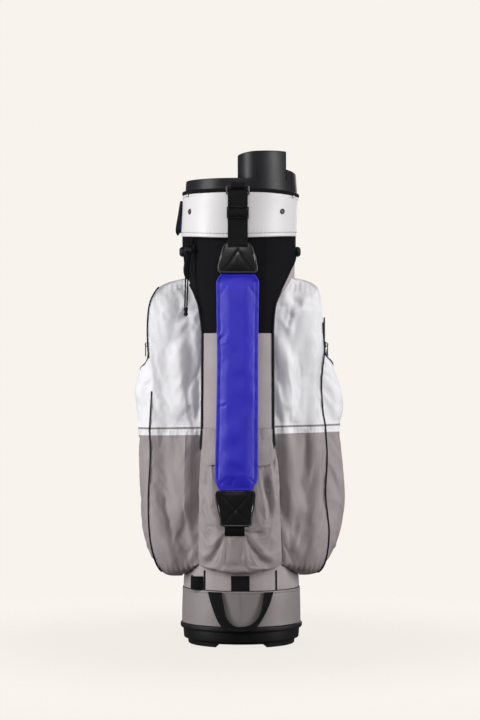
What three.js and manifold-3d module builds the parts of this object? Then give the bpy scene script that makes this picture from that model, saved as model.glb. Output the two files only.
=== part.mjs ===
// Cart golf bag: a rigid tube in a fabric cover, with a moulded base, a moulded organizer top with two raised
// wells, zipped pockets, a padded shoulder strap, a grab handle and an umbrella cord with a sprung cord lock.
//
// Millimetres, +Z up. The origin is the centre of the underside of the base. The shoulder strap hangs on the
// -Y side, which is the bag's back. An azimuth is measured from -Y towards +X, so +90 is the right-hand side.

import * as THREE from "three";
import { mergeVertices } from "three/addons/utils/BufferGeometryUtils.js";
import Module from "manifold-3d";

const wasm = await Module();
wasm.setup();
const rad = THREE.MathUtils.degToRad;

// ---------------------------------------------------------------- driving dimensions

const GAP = 0.4; // between pieces that touch
const ROUND = 36; // facets round the tube

const BASE = {
  footIn: 84, footR: 106.5, footHigh: 7, padR: 30, gateHalf: 49,
  tierR: 116, floorTop: 11.6, top: 31.6, rimR: 121.3, rimTop: 42,
};
const CUFF = { low: BASE.rimTop + GAP, top: 111.6, innerR: 114, lowR: 118.3, topR: 117.2 };
const TUBE = { low: 12.6, taperLow: 112, taperTop: 800, top: 884, lowR: 111.8, topR: 104.5, wall: 2 };
const COVER = { wall: 1.2, low: 46, top: 805.8 };
const BLACK_PANEL_LOW = 616;
const COLLAR = { low: 806.2, top: 891.4, lowR: 115.3, topR: 116, innerR: 110.2 };
const BINDING = { low: 891.8, top: 899, innerR: 112.4, outerR: 117 };
const RING = { skirtLow: 850, low: 892, top: 918, innerR: 106, lowR: 112, topR: 110.4 };
const DIVIDER = { half: 1.5, low: 560, top: 905, rows: [-10, 30.5, 69.5], putterRow: -51 };
const WELL_LOW = 893; // the raised wells reach down to here
const HIGH = 1000; // above everything
const PUTTER = { x: 40.6, y: -59.6, r: 48, wall: 3.5, top: 974 };
const SIDE_WELL = { left: 40, far: 60, wall: 3.5, top: 932.5 };
const WELL_STEPS = 18; // half the facets round the putter well
const TOP_DRAFT = (RING.lowR - RING.topR) / (RING.top - RING.low);

const STRAP = { x: -7, web: 39, padWide: 84, padTop: 733, padLow: 311.4, endTop: 794, endLow: 240 };
const HANDLE = { top: 110, topR: 118.9, lowR: 123.6, thick: 3 };
const CORD = { r: 1.5, half: 2.2, y: -66, lockZ: 779 };
const CORD_SLANT = 0.135; // how far the cords move out to the left for each millimetre down
const LIFT = { y: 104, z: 857, r: 5.5, half: 80, drop: 54, lean: 22 };
const SIDE = {
  from: 41, corner: 74.5, to: 141, low: 142, leanLow: 625, lean: 33, top: 730, depth: { left: 75, right: 56 },
};
const OUTER = { from: 77, to: 121, low: 150, top: 572, belly: { left: 22, right: 33 } };
const BALL = { half: 88, front: 184, low: 150, top: 428 };
const ACCESSORY = { half: 72, front: 150, low: 452, top: 648 };
const SIDE_ZIP = { az: 80, low: 580, high: 648, rest: 594 };

// ---------------------------------------------------------------- materials

const material = (color, roughness, metalness = 0) =>
  new THREE.MeshStandardMaterial({ color, roughness, metalness });
const FINISH = {
  mould: material(0x29272a, 0.45),
  rubber: material(0x141314, 0.6),
  taupeFabric: material(0xa3999b, 0.75),
  taupeLeather: material(0x8b8182, 0.55),
  whiteFabric: material(0xe6e4e7, 0.7),
  whiteLeather: material(0xe8e5e3, 0.45),
  blackFabric: material(0x1d1c20, 0.85),
  blackLeather: material(0x141416, 0.35),
  webbing: material(0x1b1b1d, 0.9),
  bluePad: material(0x3b36ac, 0.55),
  cord: material(0x101012, 0.8),
  metal: material(0x4a4648, 0.35, 0.9),
  zip: material(0x161618, 0.6),
  liner: material(0x202022, 0.7),
};

// ---------------------------------------------------------------- solids

/** A closed geometry as a manifold-3d solid with its faces pointing out. */
function solid(geometry) {
  const bare = geometry.clone();
  bare.deleteAttribute("normal");
  bare.deleteAttribute("uv");
  const merged = mergeVertices(bare, 1e-3);
  const at = merged.attributes.position;
  const [a, b, c] = [new THREE.Vector3(), new THREE.Vector3(), new THREE.Vector3()];
  const triangles = [];
  let volume = 0;
  for (let i = 0; i < merged.index.count; i += 3) {
    const corners = [0, 1, 2].map((k) => merged.index.getX(i + k));
    if (new Set(corners).size < 3) continue;
    triangles.push(...corners);
    a.fromBufferAttribute(at, corners[0]);
    b.fromBufferAttribute(at, corners[1]);
    c.fromBufferAttribute(at, corners[2]);
    volume += a.dot(b.cross(c));
  }
  if (volume < 0) triangles.reverse();
  return new wasm.Manifold(
    new wasm.Mesh({
      numProp: 3,
      vertProperties: new Float32Array(at.array),
      triVerts: new Uint32Array(triangles),
    }),
  );
}

/** A manifold-3d solid as a geometry. */
function geometryOf(body) {
  const mesh = body.getMesh();
  const at = new Float32Array(mesh.numVert * 3);
  for (let i = 0; i < mesh.numVert; i++) {
    at.set(mesh.vertProperties.subarray(i * mesh.numProp, i * mesh.numProp + 3), i * 3);
  }
  return new THREE.BufferGeometry()
    .setAttribute("position", new THREE.BufferAttribute(at, 3))
    .setIndex(new THREE.BufferAttribute(mesh.triVerts, 1));
}

const join = (...bodies) => bodies.reduce((all, body) => all.add(body));

/** A solid turned about Z from a closed profile of [radius, height] pairs. */
function turned(profile, facets = ROUND) {
  const points = [...profile, profile[0]].map(([r, z]) => new THREE.Vector2(r, z));
  return solid(new THREE.LatheGeometry(points, facets).rotateX(Math.PI / 2));
}

/** A solid turned about Z from a profile that starts and ends on the axis. */
function turnedFromAxis(profile, facets = ROUND) {
  const points = profile.map(([r, z]) => new THREE.Vector2(r, z));
  return solid(new THREE.LatheGeometry(points, facets).rotateX(Math.PI / 2));
}

const shapeOf = (points) => new THREE.Shape(points.map(([x, y]) => new THREE.Vector2(x, y)));

/** Points on an arc, from one angle in degrees to another. */
function arc(x, y, r, from, to, steps) {
  return Array.from({ length: steps + 1 }, (_, i) => {
    const turn = rad(from + ((to - from) * i) / steps);
    return [x + r * Math.cos(turn), y + r * Math.sin(turn)];
  });
}

function extruded(shape, depth, curveSegments = 24) {
  return new THREE.ExtrudeGeometry(shape, { depth, bevelEnabled: false, curveSegments });
}

/** A plan outline in X and Y, raised from z0 to z1. */
const raised = (shape, z0, z1, segments) => solid(extruded(shape, z1 - z0, segments).translate(0, 0, z0));

/** A side outline in Y and Z, drawn out from x0 to x1. */
function acrossX(shape, x0, x1, segments) {
  const geometry = extruded(shape, x1 - x0, segments).rotateX(Math.PI / 2).rotateZ(Math.PI / 2);
  return solid(geometry.translate(x0, 0, 0));
}

/** A front outline in X and Z, drawn out from y0 to y1. */
function acrossY(shape, y0, y1, segments) {
  return solid(extruded(shape, y1 - y0, segments).rotateX(Math.PI / 2).translate(0, y1, 0));
}

function box([x0, x1], [y0, y1], [z0, z1]) {
  const geometry = new THREE.BoxGeometry(x1 - x0, y1 - y0, z1 - z0);
  return solid(geometry.translate((x0 + x1) / 2, (y0 + y1) / 2, (z0 + z1) / 2));
}

function circle(x, y, r) {
  const shape = new THREE.Shape();
  shape.absarc(x, y, r, 0, 2 * Math.PI);
  return shape;
}

/** An upright round rod. */
const rod = (x, y, r, z0, z1, segments = 18) => raised(circle(x, y, r), z0, z1, segments);

/** A rod along X. */
const rodAlongX = (y, z, r, x0, x1, segments = 6) => acrossX(circle(y, z, r), x0, x1, segments);

/** Everything within a cone round Z that is r0 wide at z0 and r1 wide at z1. */
const cone = (r0, z0, r1, z1) => turnedFromAxis([[0, z0], [r0, z0], [r1, z1], [0, z1]]);

/** The tube's outer radius at a height. */
function tubeR(z) {
  const share = THREE.MathUtils.clamp((z - TUBE.taperLow) / (TUBE.taperTop - TUBE.taperLow), 0, 1);
  return THREE.MathUtils.lerp(TUBE.lowR, TUBE.topR, share);
}

/** The fabric cover's outer radius at a height. */
const coverR = (z) => tubeR(z) + GAP + COVER.wall;

/** The point at an azimuth in degrees, a radius and a height. */
const polar = (az, r, z) => new THREE.Vector3(r * Math.sin(rad(az)), -r * Math.cos(rad(az)), z);

/**
 * A soft pouch on the tube. Its inner face lies on the cover, and rise(az, z) says how far its outer face
 * stands off it. Its sides run from azimuth from(z) to azimuth to(z).
 */
function pouch({ from, to, low, top, rise, inner = () => 2 * GAP, across = 12, up = 12 }) {
  const geometry = new THREE.BoxGeometry(1, 1, 1, across, up, 1);
  const at = geometry.attributes.position;
  for (let i = 0; i < at.count; i++) {
    const z = THREE.MathUtils.lerp(low, top, at.getY(i) + 0.5);
    const az = THREE.MathUtils.lerp(from(z), to(z), at.getX(i) + 0.5);
    const off = at.getZ(i) > 0 ? rise(az, z) : inner(az, z);
    const point = polar(az, coverR(z) + off, z);
    at.setXYZ(i, point.x, point.y, point.z);
  }
  return solid(geometry);
}

/** A quarter-ellipse ramp: 0 at no distance from an edge, 1 from `over` on. */
function ramp(distance, over) {
  const left = 1 - THREE.MathUtils.clamp(distance / over, 0, 1);
  return Math.sqrt(1 - left * left);
}

const mirrored = (body) => body.mirror([1, 0, 0]);

// ---------------------------------------------------------------- the scene graph

const bag = new THREE.Group();

function piece(name, shape, finish, parent = bag) {
  const geometry = shape.isBufferGeometry ? shape : geometryOf(shape);
  const mesh = new THREE.Mesh(geometry, finish);
  mesh.name = name;
  parent.add(mesh);
  return mesh;
}

/** A group at a place on the bag, turned so that its own -Y points away from the bag's axis. */
function station(position, az = 0) {
  const group = new THREE.Group();
  group.position.copy(position);
  group.rotation.z = rad(az);
  bag.add(group);
  return group;
}

// ---------------------------------------------------------------- base

function baseMoulding() {
  const dish = turned([
    [0.01, BASE.footHigh], [BASE.footR, BASE.footHigh], [BASE.footR + 1, BASE.floorTop],
    [BASE.tierR - 1.5, BASE.floorTop], [BASE.tierR, BASE.top], [TUBE.lowR + 0.8, BASE.top],
    [TUBE.lowR + 0.8, BASE.floorTop + 0.4], [0.01, BASE.floorTop + 0.4],
  ]);
  const { footIn, footR, footHigh, padR, gateHalf } = BASE;
  const into = footHigh + 1; // the feet and ribs run this far up, into the dish
  const footRing = turned([[footIn, 0], [footR - 0.6, 0], [footR, into], [footIn, into]]);
  const pad = turnedFromAxis([[0, 0], [padR, 0], [padR, into], [0, into]], 24);
  const ribs = [45, 135].map((turn) => box([-90, 90], [-2, 2], [2, into]).rotate([0, 0, turn]));
  // The foot ring is open at the back and at the front.
  const gates = [-90, 90].map((y) => box([-gateHalf, gateHalf], [y - 30, y + 30], [-1, footHigh]));
  return join(dish, footRing.subtract(gates[0]).subtract(gates[1]), pad, ...ribs);
}

function base() {
  piece("base_moulding", baseMoulding(), FINISH.mould);
  const rim = turned([
    [TUBE.lowR + 0.8, BASE.top + GAP], [BASE.rimR - 2, BASE.top + GAP], [BASE.rimR, BASE.top + 3],
    [BASE.rimR, BASE.rimTop - 2], [BASE.rimR - 1.5, BASE.rimTop], [TUBE.lowR + 0.8, BASE.rimTop],
  ]);
  piece("base_rim", rim, FINISH.rubber);
  const cuff = turned([
    [CUFF.innerR, CUFF.low], [CUFF.lowR, CUFF.low], [CUFF.topR, CUFF.top - 2],
    [CUFF.topR - 1, CUFF.top], [CUFF.innerR, CUFF.top],
  ]);
  piece("base_cuff", cuff, FINISH.taupeLeather);
}

// ---------------------------------------------------------------- tube, cover and collar

function tubeAndCover() {
  const liner = turned([
    [TUBE.lowR - TUBE.wall, TUBE.low], [TUBE.lowR, TUBE.low], [TUBE.lowR, TUBE.taperLow],
    [TUBE.topR, TUBE.taperTop], [TUBE.topR, TUBE.top], [TUBE.topR - TUBE.wall, TUBE.top],
    [TUBE.topR - TUBE.wall, TUBE.taperTop], [TUBE.lowR - TUBE.wall, TUBE.taperLow],
  ]);
  piece("tube_liner", liner, FINISH.liner);

  const inner = (z) => tubeR(z) + GAP;
  const shell = turned([
    [inner(COVER.low), COVER.low], [coverR(COVER.low), COVER.low], [coverR(TUBE.taperLow), TUBE.taperLow],
    [coverR(TUBE.taperTop), TUBE.taperTop], [coverR(COVER.top), COVER.top], [inner(COVER.top), COVER.top],
    [inner(TUBE.taperTop), TUBE.taperTop], [inner(TUBE.taperLow), TUBE.taperLow],
  ]);
  // The black back panel, which widens towards the collar, seen from the back.
  const funnel = (grow) => acrossY(
    shapeOf([
      [-73 - grow, BLACK_PANEL_LOW - grow], [66 + grow, BLACK_PANEL_LOW - grow], [67 + grow, 660],
      [76 + grow, 695], [96 + grow, 745], [106 + grow, 785], [107 + grow, 830],
      [-109 - grow, 830], [-108 - grow, 785], [-98 - grow, 735], [-82 - grow, 690], [-74 - grow, 655],
    ]),
    -140, -8 + grow,
  );
  piece("body_cover", shell.subtract(funnel(GAP)), FINISH.taupeFabric);
  piece("upper_back_panel", shell.intersect(funnel(0)), FINISH.blackFabric);

  const collar = turned([
    [coverR(COLLAR.low) + 0.6, COLLAR.low], [COLLAR.lowR, COLLAR.low], [COLLAR.topR, 875],
    [COLLAR.topR - 0.6, COLLAR.top], [COLLAR.innerR, COLLAR.top],
    [COLLAR.innerR, COLLAR.low + 6], [coverR(COLLAR.low) + 0.6, COLLAR.low + 6],
  ]);
  piece("collar_band", collar, FINISH.whiteLeather);
  const binding = turned([
    [BINDING.innerR, BINDING.low], [BINDING.outerR - 0.6, BINDING.low], [BINDING.outerR, BINDING.low + 2],
    [BINDING.outerR - 0.8, BINDING.top], [BINDING.innerR, BINDING.top],
  ]);
  piece("collar_binding", binding, FINISH.webbing);

}

/** A small turned fitting that stands out from the bag, once on each side. */
function fitting(name, profile, facets, finish, { left, right, r, z }) {
  const shape = turnedFromAxis(profile, facets).rotate([90, 0, 0]);
  for (const [side, az] of [["left", left], ["right", right]]) {
    piece(`${name}_${side}`, shape, finish, station(polar(az, r + GAP, z), az));
  }
}

function fittings() {
  const rivet = [[0, 0], [5.4, 0], [5.4, 0.8], [3.8, 2], [0, 2.4]];
  fitting("collar_rivet", rivet, 12, FINISH.metal, { left: -60.5, right: 44.5, r: COLLAR.topR, z: 856.5 });
  const snap = [[0, 0], [3, 0], [3, 0.8], [1.6, 1.6], [0, 1.6]];
  fitting("hood_snap", snap, 12, FINISH.metal, { left: -63, right: 62, r: BINDING.outerR, z: 889 });
  const post = [[0, 0], [5, 0], [5, 3], [9.6, 3.6], [10.4, 6.5], [8, 10.5], [0, 12]];
  fitting("hood_post", post, 16, FINISH.rubber, { left: -90, right: 90, r: coverR(780), z: 780 });
}

// ---------------------------------------------------------------- organizer top

/** The outside of the moulded top, as a cone that its raised wells share with its ring. */
const topOutside = () => cone(RING.lowR, RING.low, RING.lowR - TOP_DRAFT * (HIGH - RING.low), HIGH);

/** The room that a raised well may fill: outside the ring above its rim, inside it below. */
function wellRoom() {
  const above = topOutside().intersect(box([-150, 150], [-150, 150], [RING.top + GAP, HIGH]));
  return above.add(cone(RING.innerR - GAP, WELL_LOW, RING.innerR - GAP, RING.top + 1));
}

/** The hollow of both wells is kept this far inside the ring. */
const hollowRoom = () => cone(RING.innerR - 5, 0, RING.innerR - 5, HIGH);

function putterWell() {
  const { x, y, r, wall, top } = PUTTER;
  const outside = rod(x, y, r, WELL_LOW, HIGH, WELL_STEPS).intersect(wellRoom());
  const inside = rod(x, y, r - wall, 0, HIGH, WELL_STEPS).intersect(hollowRoom());
  // The mouth slopes down towards the middle of the bag.
  const above = box([-200, 200], [-200, 200], [0, 200]).rotate([-4.4, -5.2, 0]).translate([32.6, -107, top]);
  return outside.subtract(inside).subtract(above);
}

function sideWell() {
  const { left, far, wall, top } = SIDE_WELL;
  const region = (inset) => box([left + inset, 140], [-90, far - inset], [0, HIGH])
    .subtract(rod(PUTTER.x, PUTTER.y, PUTTER.r + GAP + inset, 0, HIGH, WELL_STEPS));
  const inside = region(wall).intersect(hollowRoom());
  const above = box([-200, 200], [-200, 200], [0, 200]).rotate([-6.8, 0, 0]).translate([0, 0, top]);
  return region(0).intersect(wellRoom()).subtract(inside).subtract(above);
}

/** An upright divider sheet, from one plan point to another along X or Y. */
function divider([x0, x1], [y0, y1]) {
  const { half } = DIVIDER;
  const heights = [DIVIDER.low, DIVIDER.top];
  if (x1 - x0 > y1 - y0) return box([x0, x1], [y0 - half, y1 + half], heights);
  return box([x0 - half, x1 + half], [y0, y1], heights);
}

/** Room for the dividers: inside the tube, and clear of the raised wells. */
function dividerRoom() {
  const bore = (z) => tubeR(z) - TUBE.wall - GAP;
  const inTube = turnedFromAxis([
    [0, 10], [bore(10), 10], [bore(TUBE.taperLow), TUBE.taperLow],
    [bore(TUBE.taperTop), TUBE.taperTop], [bore(HIGH), HIGH], [0, HIGH],
  ]);
  const low = WELL_LOW - GAP;
  const putter = rod(PUTTER.x, PUTTER.y, PUTTER.r + 2 * GAP, low, HIGH + 1, WELL_STEPS);
  const side = box([SIDE_WELL.left - GAP, 140], [-60, SIDE_WELL.far + GAP], [low, HIGH + 1]);
  return inTube.subtract(putter).subtract(side);
}

function organizer() {
  const ring = turned([
    [TUBE.topR + 0.5, RING.skirtLow], [COLLAR.innerR - 0.5, RING.skirtLow], [COLLAR.innerR - 0.5, RING.low],
    [RING.lowR, RING.low], [RING.topR, RING.top - 1.5], [RING.topR - 1.5, RING.top],
    [RING.innerR + 1, RING.top], [RING.innerR, RING.top - 1.5],
    [RING.innerR, RING.low - 5], [TUBE.topR + 0.5, RING.low - 7],
  ]);
  piece("top_ring", ring, FINISH.mould);
  piece("putter_well", putterWell(), FINISH.mould);
  piece("side_well", sideWell(), FINISH.mould);

  // Three sheets cross the bag at these depths, and shorter ones stand between them.
  const room = dividerRoom();
  const edge = 120; // past the tube's wall
  const { rows: [y1, y2, y3], half, putterRow } = DIVIDER;
  const back = join(
    divider([-edge, edge], [y1, y1]), divider([-9, -9], [-edge, y1]),
    divider([-edge, -9], [putterRow, putterRow]), divider([-52, -52], [putterRow, y1]),
  );
  const clear = half + GAP; // from the middle of one sheet to the end of another that meets it
  const middle = join(
    divider([-edge, 37], [y2, y2]),
    ...[-57, -11].map((x) => divider([x, x], [y1 + clear, y2])),
    divider([35, 35], [y1 + clear, 62]),
  );
  const front = join(
    divider([-edge, edge], [y3, y3]),
    ...[-50, -3].map((x) => divider([x, x], [y2 + clear, y3])),
    ...[-25, 25].map((x) => divider([x, x], [y3, edge])),
  );
  piece("divider_back", back.intersect(room), FINISH.webbing);
  piece("divider_middle", middle.intersect(room), FINISH.webbing);
  piece("divider_front", front.intersect(room), FINISH.webbing);
}

// ---------------------------------------------------------------- shoulder strap

/** A band seen from the side: its back face follows [y, z] points, and it is `thick` in front of them. */
function band(back, thick, x0, x1) {
  const front = back.map(([y, z]) => [y - thick, z]).reverse();
  return acrossX(shapeOf([...back, ...front]), x0, x1);
}

function shoulderStrap() {
  const mid = STRAP.x;
  const half = STRAP.web / 2;
  const bar = { y: -120.4, z: 886.2, r: 1.5 };
  const upperZ = 903.4;

  const keeper = box([mid - 13, mid + 13], [-124, -114.9], [BINDING.top + GAP, 911])
    .subtract(rodAlongX(bar.y, upperZ, 2.2, mid - 20, mid + 20))
    .subtract(topOutside());
  piece("strap_ring_keeper", keeper, FINISH.webbing);

  const [w, low, high] = [23.2, bar.z - bar.r, upperZ + bar.r];
  const outline = [
    ...arc(3 - w, low + 3, 3, 180, 270, 3), ...arc(w - 3, low + 3, 3, 270, 360, 3),
    ...arc(w - 3, high - 3, 3, 0, 90, 3), ...arc(3 - w, high - 3, 3, 90, 180, 3),
  ];
  const ring = acrossY(shapeOf(outline), bar.y - bar.r, bar.y + bar.r)
    .subtract(box([3 - w, w - 3], [-200, 0], [low + 3, high - 3]));
  piece("strap_ring", ring, FINISH.metal).position.x = mid;

  // The webbing runs up through the slider, round the ring's lower bar and back down.
  const double = 834; // it is double from here up
  const tail = STRAP.endTop - 6;
  const loop = shapeOf([
    [bar.y - 2, double], [bar.y - 2, 876], ...arc(bar.y, bar.z, 4.2, 180, 0, 6),
    [bar.y + 2, 876], [bar.y + 2, double], [bar.y + 0.4, double - 3],
    [bar.y + 0.4, tail], [bar.y - 1.2, tail], [bar.y - 1.2, double - 3],
  ]);
  const eye = shapeOf([
    [bar.y - 0.5, double + 4], [bar.y - 0.5, 877], ...arc(bar.y, bar.z, 2.6, 180, 0, 6),
    [bar.y + 0.5, 877], [bar.y + 0.5, double + 4],
  ]);
  const hole = acrossX(eye, mid - half - 1, mid + half + 1);
  const webbing = acrossX(loop, mid - half, mid + half).subtract(hole);
  piece("strap_web_upper", webbing, FINISH.webbing);

  const slider = box([-21.5, 21.5], [bar.y - 4, bar.y + 3.6], [-12, 12])
    .subtract(box([-half - 0.5, half + 0.5], [bar.y - 2.4, bar.y + 2.4], [-20, 20]))
    .subtract(box([-half + 2, half - 2], [bar.y - 9, bar.y - 1], [1.5, 9]))
    .subtract(box([-half + 2, half - 2], [bar.y - 9, bar.y - 1], [-9, -1.5]));
  piece("strap_slider", slider, FINISH.mould).position.set(mid, 0, 851);

  // Two leather ends that widen towards the pad.
  const leather = (name, z0, z1, w0, w1, y0) => {
    const rightSide = [[w0 - 4, z0], [w0, z0 + 4], [w1, z1 - 4], [w1 - 4, z1]];
    const leftSide = rightSide.map(([x, z]) => [-x, z]).reverse();
    const tongue = shapeOf([...rightSide, ...leftSide]);
    piece(name, acrossY(tongue, y0 - 4, y0), FINISH.blackLeather).position.x = mid;
  };
  leather("strap_end_upper", STRAP.padTop + GAP, STRAP.endTop - 4, 40, 26, bar.y - 1.6);
  leather("strap_end_lower", STRAP.endLow, STRAP.padLow - GAP, 27, 41.5, -139);

  // The pad hangs clear of the tube and leans away from it, thinner at both ends: [back y, front y, z].
  const pad = [
    [-120.5, -127.5, STRAP.padTop], [-117.5, -131, 715], [-120.5, -135, 650], [-125, -140, 570],
    [-129, -144, 490], [-132.5, -147.5, 410], [-134.5, -149, 335], [-137.5, -144.5, STRAP.padLow],
  ];
  const padBack = pad.map(([y, , z]) => [y, z]);
  const padFront = pad.map(([, y, z]) => [y, z]).reverse();
  const padWidth = [mid - STRAP.padWide / 2, mid + STRAP.padWide / 2];
  piece("strap_pad", acrossX(shapeOf([...padBack, ...padFront]), ...padWidth), FINISH.bluePad);
  const lower = band([[-140.2, STRAP.endLow - GAP], [-138, 230], [-129, 221]], 1.6, mid - half, mid + half);
  piece("strap_web_lower", lower, FINISH.webbing);
}

// ---------------------------------------------------------------- grab handle, cord and small pieces

function grabHandle() {
  const outside = [
    [-66, 0], [-57, -30], [-45, -58], [-31, -71], [0, -75.5], [27, -69], [41, -52], [55, -25], [63, 0],
  ];
  const inside = [
    [44, 0], [43, -20], [35, -45], [20, -61], [0, -66], [-16, -63], [-29, -48], [-35, -22], [-38.5, 0],
  ];
  const smooth = (points) => {
    const curve = new THREE.CatmullRomCurve3(points.map(([x, z]) => new THREE.Vector3(x, z, 0)));
    return curve.getPoints(14).map((p) => [p.x, HANDLE.top + p.y]);
  };
  // The loop bends round the cuff and hangs over the base's rim.
  const { top, topR, lowR, thick } = HANDLE;
  const [high, low] = [top + 4, top - 80];
  const shell = turned([[topR, high], [lowR, low], [lowR + thick, low], [topR + thick, high]], 48);
  const loop = acrossY(shapeOf([...smooth(outside), ...smooth(inside)]), -140, -60).intersect(shell);
  piece("grab_handle", loop, FINISH.webbing);

  const stub = pouch({
    from: () => -10, to: () => 8, low: CUFF.top + GAP, top: 142, rise: () => 2.2, across: 2, up: 2,
  });
  piece("strap_anchor_web", stub, FINISH.webbing);
}

/** A webbing arch on the tube that holds the tip of an umbrella. */
function umbrellaSleeve() {
  const arch = (grow) => (az) => 2.4 + grow + 12 * Math.sin((Math.PI * (az + 58)) / 17);
  const size = { from: () => -58, to: () => -41, across: 6, up: 1 };
  const outside = pouch({ ...size, low: CUFF.top + GAP, top: 139, rise: arch(0) });
  const inside = pouch({ ...size, low: CUFF.top - 5, top: 145, rise: arch(-2), inner: () => -2 });
  piece("umbrella_sleeve", outside.subtract(inside), FINISH.webbing);
}

/** A round cord through a list of points. */
function cordAlong(points) {
  const path = new THREE.CatmullRomCurve3(points.map((p) => new THREE.Vector3(...p)));
  const geometry = new THREE.ExtrudeGeometry(circle(0, 0, CORD.r), {
    steps: 24, extrudePath: path, curveSegments: 4, bevelEnabled: false,
  });
  return solid(geometry);
}

function umbrellaCord() {
  const { y, half, lockZ } = CORD;
  const end = { x: -109, y: -83, z: 668 };
  // Both strands slant straight through the lock's travel and meet at the end knob.
  const slant = (z) => -101.7 + (z - lockZ) * CORD_SLANT;
  const strand = (name, side, exit) => piece(name, cordAlong([
    ...exit, [slant(787) + side, y, 787], [slant(770) + side, y, 770], [slant(750) + side, y, 750],
    [-107.2 + side, y - 0.6, 732], [-108.2 + side, y - 3.4, 702], [end.x + side * 0.9, end.y, end.z + 2 * GAP],
  ]), FINISH.cord);
  strand("umbrella_cord_a", -half, [[-104.5, -56, 803], [-103.8, -61, 796]]);
  strand("umbrella_cord_b", half, [[-93.5, -66, 803], [-96.2, -65, 796]]);
  const knob = turnedFromAxis([[0, -18], [3, -18], [4.6, -15], [3.4, -10], [4.8, -5], [4, 0], [0, 0]], 12);
  piece("cord_end", knob, FINISH.rubber).position.set(end.x, end.y, end.z);

  const lock = station(new THREE.Vector3(slant(lockZ) - 1.4, y, lockZ));
  const barrel = rodAlongX(0, 0, 6, -10, 7.5, 8)
    .subtract(box([-3.4, 6.3], [-2.2, 2.2], [-20, 20]))
    .subtract(rodAlongX(0, 0, 4.2, -20, -3));
  piece("cord_lock", barrel, FINISH.mould, lock);
  piece("cord_lock_button", rodAlongX(0, 0, 3.7, -13.2, -6.6), FINISH.rubber, lock);
}

function gloveTab() {
  const tab = shapeOf([
    [0, 0], [-2.4, 0], [-5, -20], [-8.6, -45], [-11, -60], [-9, -66], [-4, -66], [-3, -50], [-1.6, -20],
  ]);
  const body = solid(extruded(tab, 46).rotateX(Math.PI / 2).translate(0, 32, 0));
  piece("glove_tab", body, FINISH.blackLeather).position.set(-118.4, 0, 881);
}

/** The lift handle on the front: a round grip that hangs from two brackets on the collar. */
function frontHandle() {
  const { y, z, r, half, drop, lean } = LIFT;
  const path = new THREE.CatmullRomCurve3([
    [-half, 0, 0], [-half + 9, 0, 0], [-half + 21, 0, -10], [-40, 0, -drop * 0.72], [0, 0, -drop],
    [40, 0, -drop * 0.72], [half - 21, 0, -10], [half - 9, 0, 0], [half, 0, 0],
  ].map((p) => new THREE.Vector3(...p)));
  const grip = new THREE.ExtrudeGeometry(circle(0, 0, r), {
    steps: 24, extrudePath: path, curveSegments: 5, bevelEnabled: false,
  });
  const handle = piece("front_handle", grip, FINISH.blackLeather);
  handle.position.set(0, y, z);
  handle.rotation.x = rad(lean);
  const around = cone(COLLAR.topR + GAP, 800, COLLAR.topR + GAP, 900);
  const bracket = box([half - 7, half + 3], [60, y + 9], [z - 10, z + 10])
    .subtract(around)
    .subtract(rodAlongX(y, z, r + 1, half - 20, half + GAP));
  piece("front_bracket_right", bracket, FINISH.mould);
  piece("front_bracket_left", mirrored(bracket), FINISH.mould);
}

// ---------------------------------------------------------------- pockets

/** The side pocket's back edge, which leans outwards near its top. */
function sideFrom(z) {
  const share = THREE.MathUtils.clamp((z - SIDE.leanLow) / (SIDE.top - SIDE.leanLow), 0, 1);
  return SIDE.from + SIDE.lean * Math.pow(share, 1.2);
}

/** How far a side pocket stands off the tube at an azimuth and a height, whichever side it is on. */
function sideRise(az, z, side) {
  const across = THREE.MathUtils.clamp((az - sideFrom(z)) / (SIDE.corner - SIDE.from), 0, 1);
  const front = THREE.MathUtils.clamp((SIDE.to - az) / (SIDE.to - 113), 0, 1);
  const ends = ramp(SIDE.top - z, 58) * ramp(z - SIDE.low, 95);
  return 1.6 + SIDE.depth[side] * Math.min(Math.pow(across, 0.85), Math.sin((front * Math.PI) / 2)) * ends;
}

function outerRise(az, z, side) {
  const across = ramp(az - OUTER.from, 14) * ramp(OUTER.to - az, 14);
  const ends = ramp(OUTER.top - z, 80) * ramp(z - OUTER.low, 90);
  const belly = OUTER.belly[side] - 8 + 8 * Math.exp(-Math.pow((z - 500) / 45, 2));
  return sideRise(az, z, side) + 2 + belly * across * ends;
}

/** A pocket on the front with a flat face: half wide each side of the middle, its face at y = front. */
function frontPocket({ half, front, low, top }, { across, up, corner, reach }) {
  const rise = (az, z) => {
    const theta = rad(Math.abs(180 - az));
    const flat = Math.min(front / Math.cos(theta), half / Math.max(Math.sin(theta), 0.01));
    const soft = Math.min(flat, Math.hypot(front, half) - corner);
    return 1.6 + (soft - coverR(z) - 1.6) * ramp(top - z, 26) * ramp(z - low, 34);
  };
  return pouch({ from: () => 180 - reach, to: () => 180 + reach, low, top, rise, across, up });
}

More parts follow.
